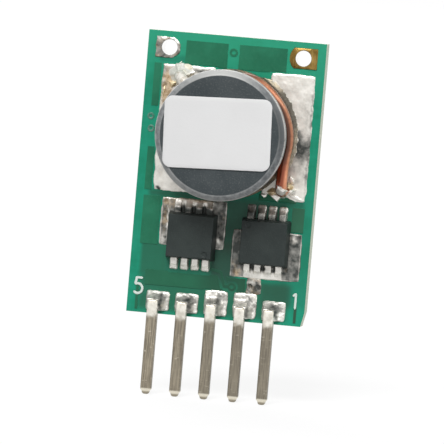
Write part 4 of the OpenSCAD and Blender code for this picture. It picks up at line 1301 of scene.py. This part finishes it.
def wire_path():
    """The wire's course: up from the land, a quarter bend in over the flange and a quarter turn into the
    coil, up the turns, out past the flanges, down the outer lead, swinging out, and a quarter bend down to
    the land. Along the turns and the lead, distance from the axis and height ease between stretches."""
    a = np.radians(np.linspace(0, 90, 10)[:-1])
    s, c = np.sin(a), np.cos(a)
    rising = around(leg_r - bend_r * (1 - c), coil_start, turn_low - bend_r * (1 - s))
    start_reach = leg_r - bend_r - turn_r
    turning = around(turn_r + start_reach * (1 - s), coil_start - entry_arc * (1 - c), turn_low)
    run = np.linspace(entry_arc, coil_arc, 240)[:-1]
    past_turns = run - entry_arc - helix_arc
    past_drop = past_turns - exit_arc - drop_arc
    r = turn_r + (lead_r - turn_r) * ease(past_turns / exit_arc)
    r = r + (end_r - lead_r) * np.clip(past_drop / out_arc, 0, 1) ** 2
    climb = np.clip((run - entry_arc) / helix_arc, 0, 1) - ease((past_turns - exit_arc) / drop_arc)
    running = around(r, coil_start - run, turn_low + (turn_high - turn_low) * climb)
    falling = around(end_r, coil_end, turn_low - bend_r * (1 - c)) + bend_r * s[:, None] * end_way
    path = np.concatenate([[feet["left"]], rising, turning, running, falling, [feet["right"]]])
    return on_board(coil_x + path[:, 0], coil_z + path[:, 1], path[:, 2])


def tinned_ends(points):
    """Most at the wire's two ends, where solder has wetted it, falling away along it."""
    places = []
    for side, reach in (("left", 1.0), ("right", 0.26)):
        across, up, _ = feet[side]
        places.append((coil_x + across, coil_z + up, reach, reach, 1.4))
    return spots(points, places)


def under_flange_shade(points):
    """Where the wire carries painted shade: 1 on the side of the outer lead that lies under the upper
    flange, and all round it where it comes out from the turns, 0 on its outer side."""
    r, _ = from_axis(points)
    angle = angle_of(points)
    swung = np.clip((coil_end + out_arc - angle) / out_arc, 0, 1.3) ** 2
    inner_side = ease((lead_r + (end_r - lead_r) * swung + 0.27 - r) / 0.12)
    outer_lead = ease((r - lead_r + wire_r) / 0.05)
    return outer_lead * (inner_side * ease((44 - angle) / 14) + 0.75 * ease((angle - 54) / 12))


# The wire's deep attribute carries painted shade under the upper flange.
side_way = around(1.0, coil_start - 90, 0.0)
piece("wire_turns", [tube(wire_path(), wire_r, np.array([side_way[0], 0, side_way[1]]))],
      enamelled_wire, "enamelled_wire", "coil_winding", carries={"tinned": tinned_ends, "deep": under_flange_shade})


def wire_blob(side, seed, r, h):
    """Solder round a wire end: a dome that hollows out towards its rim, cut off where the flange stands."""
    turn = np.linspace(0, 2 * np.pi, 64, endpoint=False)
    way = np.stack([np.cos(turn), np.sin(turn)], -1)
    foot = feet[side][:2]
    along = way @ foot
    inside = along ** 2 - foot @ foot + (flange_r + 0.01) ** 2
    to_flange = np.where((along < 0) & (inside > 0), -along - np.sqrt(np.maximum(inside, 0)), np.inf)
    reach = np.minimum(r * (1 + 0.16 * ripples(way[:, 0], way[:, 1], 1.6, seed)), to_flange)
    middle = foot + [coil_x, coil_z]
    loops = [on_board(*(middle + reach[:, None] * way).T, 0.0)]
    for share in (0.97, 0.9, 0.8, 0.68, 0.55, 0.4, 0.2):
        uneven = 1 + 0.1 * ripples(way[:, 0] * share, way[:, 1] * share, 1, seed)
        up = land_t * 0.5 + h * (1 - share) ** 1.2 * uneven
        loops.append(on_board(*(middle + share * reach[:, None] * way).T, up))
    return loft(loops)


for side, seed, blob_r in (("left", 3, 0.78), ("right", 6, 0.5)):
    piece(f"{side}_wire_solder", [wire_blob(side, seed, blob_r, h=0.9)], solder, "solder",
          f"{side}_coil_solder", carries=stains_and_light(dull_all=-0.1, flux_all=0.05))


def shard(base, height, fullness, *outline):
    """A lump in an outline of straight sides, drawn in towards its middle as it rises. Its height follows
    1 less a power of the share of the way out: a high power gives a flat flake, a low one a dome."""
    rim = straight_path([*outline, outline[0]], 6)[:-1]
    middle = rim.mean(0)
    loops = [on_board(rim[:, 0], rim[:, 1], base)]
    for share in (0.98, 0.9, 0.75, 0.55, 0.3, 0.1):
        place = middle + share * (rim - middle)
        uneven = 1 + 0.05 * ripples(place[:, 0], place[:, 1], 0.8, len(outline))
        loops.append(on_board(place[:, 0], place[:, 1], base + height * (1 - share ** fullness) * uneven))
    return loft(loops)


# What hand soldering left at the wire's ends: the base, height, fullness and outline of each lump
splashes = [
    (0.02, 0.3, 10,
     (2.91, 7.83), (3.19, 7.92), (3.74, 7.86), (3.68, 7.69), (3.47, 7.41), (3.22, 7.58)),
    (0.02, 0.2, 10,
     (2.36, 7.85), (2.85, 7.87), (2.78, 7.65), (2.64, 7.58), (2.49, 7.72)),
    (1.0, 0.85, 12,
     (3.48, 8.54), (3.64, 8.52), (4.1, 8.26), (4.18, 8.16), (4.04, 8.08), (3.83, 8.12), (3.58, 8.32)),
    (0.04, 0.76, 8,
     (3.97, 8.1), (4.17, 8.24), (4.44, 8.33), (4.56, 8.23), (4.46, 8.1), (4.26, 8.06), (4.05, 7.99)),
    (0.04, 0.26, 10,
     (4.03, 8.96), (4.13, 9.06), (4.29, 8.98), (4.43, 8.76), (4.4, 8.62), (4.28, 8.63), (4.11, 8.78)),
    (0.04, 0.11, 10,
     (4.06, 7.93), (4.39, 7.98), (4.78, 7.83), (5.08, 7.62), (5.04, 7.56), (4.61, 7.65), (4.22, 7.8)),
]
white_flakes = [
    (0.04, 1.2, 2.2,
     (-3.2, 14.9), (-2.82, 15.01), (-2.56, 14.83), (-2.4, 14.66), (-2.56, 14.41), (-2.78, 14.27),
     (-3.05, 14.26), (-3.36, 14.34), (-3.36, 14.6)),
    (0.03, 0.25, 2.5,
     (-3.65, 14.61), (-3.33, 15.2), (-2.67, 15.3), (-2.33, 15.15), (-2.34, 14.68), (-2.86, 14.21),
     (-3.49, 14.3)),
    (0.0, 0.06, 3,
     (-3.27, 15.27), (-3.09, 15.43), (-3.06, 15.36), (-3.2, 15.26)),
]
amber_pools = [
    (0.0, 0.5, 2,
     (2.71, 8.0), (3.02, 8.29), (3.3, 8.26), (3.42, 8.04), (3.75, 7.93), (3.67, 7.85), (3.2, 7.79),
     (2.87, 7.83)),
    (0.04, 0.6, 2,
     (3.85, 8.18), (3.92, 8.51), (4.0, 8.68), (4.19, 8.63), (4.4, 8.42), (4.28, 8.15), (4.0, 8.1)),
    (0.03, 0.3, 2,
     (-3.82, 14.13), (-3.41, 14.28), (-3.07, 14.19), (-3.28, 13.9), (-3.6, 13.73)),
    (0.03, 0.1, 2,
     (-4.05, 13.9), (-3.95, 13.95), (-3.98, 13.2), (-4.08, 12.9)),
]
mask_tongue = (
    0.0, 0.1, 8,
    (2.3, 7.4), (2.3, 7.8), (2.6, 7.9), (2.9, 7.85), (3.4, 7.95), (3.95, 7.86), (4.25, 7.7), (4.6, 7.55),
    (4.6, 7.4),
)
piece("solder_splashes", [shard(*lump) for lump in splashes], solder, "solder",
      carries=stains_and_light(dull_all=-0.15))
piece("white_flux", [shard(*lump) for lump in white_flakes], white_flux, "solder")
piece("amber_flux", [shard(*lump) for lump in amber_pools], amber_flux, "solder")
piece("mask_tongue", [shard(*mask_tongue)], masked_copper, "laminate")


def label_sheet():
    """A thin sheet with round corners, turned a little on the core's face, its edge softened."""
    (middle_x, _, middle_z), (_, t, _) = middle_and_size("coil_label")
    cos, sin = math.cos(math.radians(label_turn)), math.sin(math.radians(label_turn))
    loops = []
    for inset, up in ((0.012, 0.0), (0.0, 0.3 * t), (0.0, 0.7 * t), (0.012, 0.95 * t), (0.03, t), (0.3, t)):
        across, along = rounded_loop(label_w - 2 * inset, label_h - 2 * inset, label_r, steps=12).T
        x, z = across * cos - along * sin, across * sin + along * cos
        loops.append(on_board(middle_x + x, middle_z + z, core_top + up))
    return loft(loops)


piece("label_sheet", [label_sheet()], paper, "blank_label", "coil_label")

# Legend: the numbers of the first and the last pin

ink_w, ink_t, ink_base = 0.15, 0.015, 0.042


def five(x, z):
    """The figure 5: a bar, a short stem and a bowl that is part of an ellipse."""
    turn = np.radians(np.linspace(130, -145, 40))
    bowl = np.stack([0.27 + 0.28 * np.cos(turn), 0.3 + 0.3 * np.sin(turn)], -1)
    bar = straight_path([(0.54, 0.95), (0.17, 0.95), (0.1, 0.54)])
    return [ribbon(path + [x, z], ink_w, ink_t, ink_base) for path in (bar, bowl)]


def one(x, z):
    """The figure 1: a flag and a stem."""
    return [ribbon(straight_path(path) + [x, z], ink_w * 0.9, ink_t, ink_base)
            for path in ([(0.02, 0.78), (0.2, 0.96)], [(0.2, 1.0), (0.2, 0.0)])]


piece("pin_numbers", five(-4.9, 1.14) + one(4.87, 1.03), ink, "blank_label")

# Small vias under the mask


def via_cap(x, z, r=0.15, w=0.07, h=0.035):
    """The mask over a small via: a ring with a round back, whose section is half an ellipse."""
    turn = np.linspace(0, 2 * np.pi, 40, endpoint=False)
    rings = []
    for a in np.linspace(0, np.pi, 9):
        reach = r + w * np.cos(a)
        rings.append(on_board(x + reach * np.cos(turn), z + reach * np.sin(turn), h * np.sin(a)))
    return hoop(rings)


piece("via_caps", [via_cap(-4.7, 11.95), via_cap(-4.63, 11.2)], via_mask, "laminate")

# Parts on the back


def hollow_fillet(along, height):
    """Solder as high as a chip's end up to that end, hollowing down to the toe of its land past it."""
    return height * (1 - np.clip(along / chip_toe, 0, 1)) ** hollowing


def back_chip(node, material, slot, end, edge):
    """A chip with metal ends: its body, its two capped ends, and the solder that runs down to its lands."""
    (mid_x, _, mid_z), (size_x, _, size_z) = middle_and_size(f"{node}_ends")
    top = corners(f"{node}_ends")[1][1] - back_y
    (body_x, _, body_z), (body_w, body_t, body_h) = middle_and_size(node)
    base = land_t + chip_lift
    body = block((body_x, body_z), body_w, body_h, base, base + body_t, "back", edge=edge)
    piece(f"{node}_chip", [body], material, slot, node)
    lies_across = size_x > size_z
    length, width = (size_x, size_z) if lies_across else (size_z, size_x)
    caps, pools = [], []
    for sign in (-1, 1):
        offset = sign * (length - end) / 2
        place = (mid_x + offset, mid_z) if lies_across else (mid_x, mid_z + offset)
        sides = (end, width) if lies_across else (width, end)
        caps.append(block(place, *sides, land_t, top, "back", edge=edge))
        run = sorted([sign * (length / 2 - end), sign * (length / 2 + chip_toe)])
        across = (-width / 2, width / 2)
        xs, zs = (run, across) if lies_across else (across, run)
        area = (mid_x + xs[0], mid_z + zs[0], mid_x + xs[1], mid_z + zs[1])

        def rise(x, z, sign=sign):
            along = sign * ((x - mid_x) if lies_across else (z - mid_z))
            return hollow_fillet(along - length / 2, (top - land_t) * wetting)

        pools.append(puddle(area, back_pool_t, seed=len(node) + sign, face="back", edge=0.09, wander=0.015,
                            relief=0.008, steps=(36, 36), rise=rise))
    piece(f"{node}_caps", caps, tinned, "chip_end", f"{node}_ends")
    return pools


def controller_fillets():
    """The solder beside the controller's terminals, a row on each side."""
    (middle_x, _, middle_z), (w, _, _) = middle_and_size("controller_body")
    pools = []
    for sign in (-1, 1):
        edge_x = middle_x + sign * w / 2
        x0, x1 = sorted([edge_x - sign * terminal_tuck, edge_x + sign * chip_toe])

        def rise(x, _, sign=sign, edge_x=edge_x):
            return hollow_fillet(sign * (x - edge_x), terminal_h)

        for k in range(terminal_count):
            z = middle_z + (k - (terminal_count - 1) / 2) * terminal_pitch
            area = (x0, z - terminal_w / 2, x1, z + terminal_w / 2)
            pools.append(puddle(area, back_pool_t, seed=k + sign, face="back", edge=0.06, wander=0.008,
                                relief=0.005, steps=(20, 20), rise=rise))
    return pools


def controller(dimple_inset=0.4):
    """The controller's moulding, with a dimple in from one corner."""
    (x, _, z), (w, t, h) = middle_and_size("controller_body")
    dimple = (dimple_inset - w / 2, w / 2 - dimple_inset)
    body = block((x, z), w, h, land_t, land_t + t, "back", draft=0.02, edge=0.04, dimple=dimple)
    piece("controller", [body], moulding, "moulding", "controller_body")


RESISTORS = [f"{name}_resistor" for name in ("feedback", "bias", "sense", "timing")]
SMALL_CAPACITORS = [f"{name}_capacitor" for name in ("bypass", "boost", "feedback", "filter")]
back_pools = []
for side in SIDES:
    for name in ("input", "output"):
        back_pools += back_chip(f"{side}_{name}_capacitor", ceramic, "capacitor_ceramic", bulk_end, 0.08)
for node in RESISTORS:
    back_pools += back_chip(node, film, "resistor_film", chip_end, 0.03)
for node in SMALL_CAPACITORS:
    back_pools += back_chip(node, ceramic, "capacitor_ceramic", chip_end, 0.05)

controller()
dress("controller_terminals", tinned)
dress("back_lands", tinned)
piece("back_fillets", back_pools + controller_fillets(), solder, "solder", "back_solder",
      carries=stains_and_light(dull_all=0.15))

# Floor, light and camera

FLOOR_HALF = 4000.0


def white_to_eye(tree, plain, white):
    """Light Path's choice between a plain value and the white that the eye, gloss and glass see."""
    path = tree.nodes.new("ShaderNodeLightPath")
    seen = Socket(path.outputs["Is Camera Ray"])
    for name in ("Is Glossy Ray", "Is Transmission Ray"):
        seen = seen.math("MAXIMUM", seen, Socket(path.outputs[name]))
    return plain + (white - plain) * seen


def studio_floor(lit_share, glow_share):
    """A floor that is white to the eye: a share of that is glow, and the rest takes light and shadow. It
    throws back only a share of the light that falls on it."""
    mesh = bpy.data.meshes.new("floor")
    corner = np.array([(-1, -1, 0), (1, -1, 0), (1, 1, 0), (-1, 1, 0)]) * FLOOR_HALF + [0, 0, floor_z]
    mesh.from_pydata((corner * MM).tolist(), [], [(0, 1, 2, 3)])
    material = bpy.data.materials.new("floor")
    material.use_nodes = True
    tree = material.node_tree
    tree.nodes.remove(tree.nodes["Principled BSDF"])
    lit = tree.nodes.new("ShaderNodeBsdfDiffuse")
    plug(lit.inputs["Color"], white_to_eye(tree, lit_share, 1.0))
    glow = tree.nodes.new("ShaderNodeEmission")
    mixed = tree.nodes.new("ShaderNodeMixShader")
    plug(mixed.inputs[0], white_to_eye(tree, 0.0, glow_share))
    tree.links.new(lit.outputs[0], mixed.inputs[1])
    tree.links.new(glow.outputs[0], mixed.inputs[2])
    tree.links.new(mixed.outputs[0], tree.nodes["Material Output"].inputs["Surface"])
    mesh.materials.append(material)
    floor = bpy.data.objects.new("floor", mesh)
    bpy.context.scene.collection.objects.link(floor)


def studio_world(ambient):
    """An even grey dome for light, and white for the eye and for gloss."""
    world = bpy.data.worlds.new("studio")
    world.use_nodes = True
    background = world.node_tree.nodes["Background"]
    background.inputs["Color"].default_value = (1, 1, 1, 1)
    plug(background.inputs["Strength"], white_to_eye(world.node_tree, ambient, 1.0))
    bpy.context.scene.world = world


def way_to(azimuth, elevation):
    """The way to a place round the object: degrees to the right of its front, and above the floor."""
    az, el = math.radians(azimuth), math.radians(elevation)
    return Vector((math.sin(az) * math.cos(el), -math.cos(az) * math.cos(el), math.sin(el)))


def soft_lamp(name, azimuth, elevation, spread, level):
    """A far lamp as wide as a spread in degrees. It lights a surface that faces it at a level, where 1
    shows a colour as it is."""
    lamp = bpy.data.lights.new(name, "SUN")
    lamp.angle = math.radians(spread)
    lamp.energy = level * math.pi
    shown = bpy.data.objects.new(name, lamp)
    place = way_to(azimuth, elevation)
    shown.location = place
    shown.rotation_euler = (-place).to_track_quat("-Z", "Y").to_euler()
    bpy.context.scene.collection.objects.link(shown)


def photo_camera(aim, azimuth, elevation, roll, distance, focal):
    """A camera round the object, turned about its own axis, with a lens whose focal length is in pixels."""
    back = way_to(azimuth, elevation)
    data = bpy.data.cameras.new("camera")
    data.sensor_width = 36.0
    data.lens = focal / PHOTO_PIXELS * data.sensor_width
    data.clip_start, data.clip_end = 0.01, 20.0
    camera = bpy.data.objects.new("camera", data)
    turn = (-back).to_track_quat("-Z", "Y").to_matrix() @ Matrix.Rotation(math.radians(roll), 3, "Z")
    camera.matrix_world = Matrix.Translation((Vector(aim) + back * distance) * MM) @ turn.to_4x4()
    bpy.context.scene.collection.objects.link(camera)
    bpy.context.scene.camera = camera


studio_floor(lit_share=0.35, glow_share=0.82)
studio_world(ambient=0.22)
soft_lamp("key", azimuth=-6, elevation=40, spread=25, level=0.82)
soft_lamp("fill", azimuth=75, elevation=20, spread=40, level=0.3)
soft_lamp("rear", azimuth=200, elevation=35, spread=50, level=0.5)
photo_camera(aim=(0.24, 0.0, 5.93), azimuth=8.0, elevation=3.0, roll=4.79, distance=300.0, focal=4955.0)
bpy.context.scene.view_settings.view_transform = "Standard"
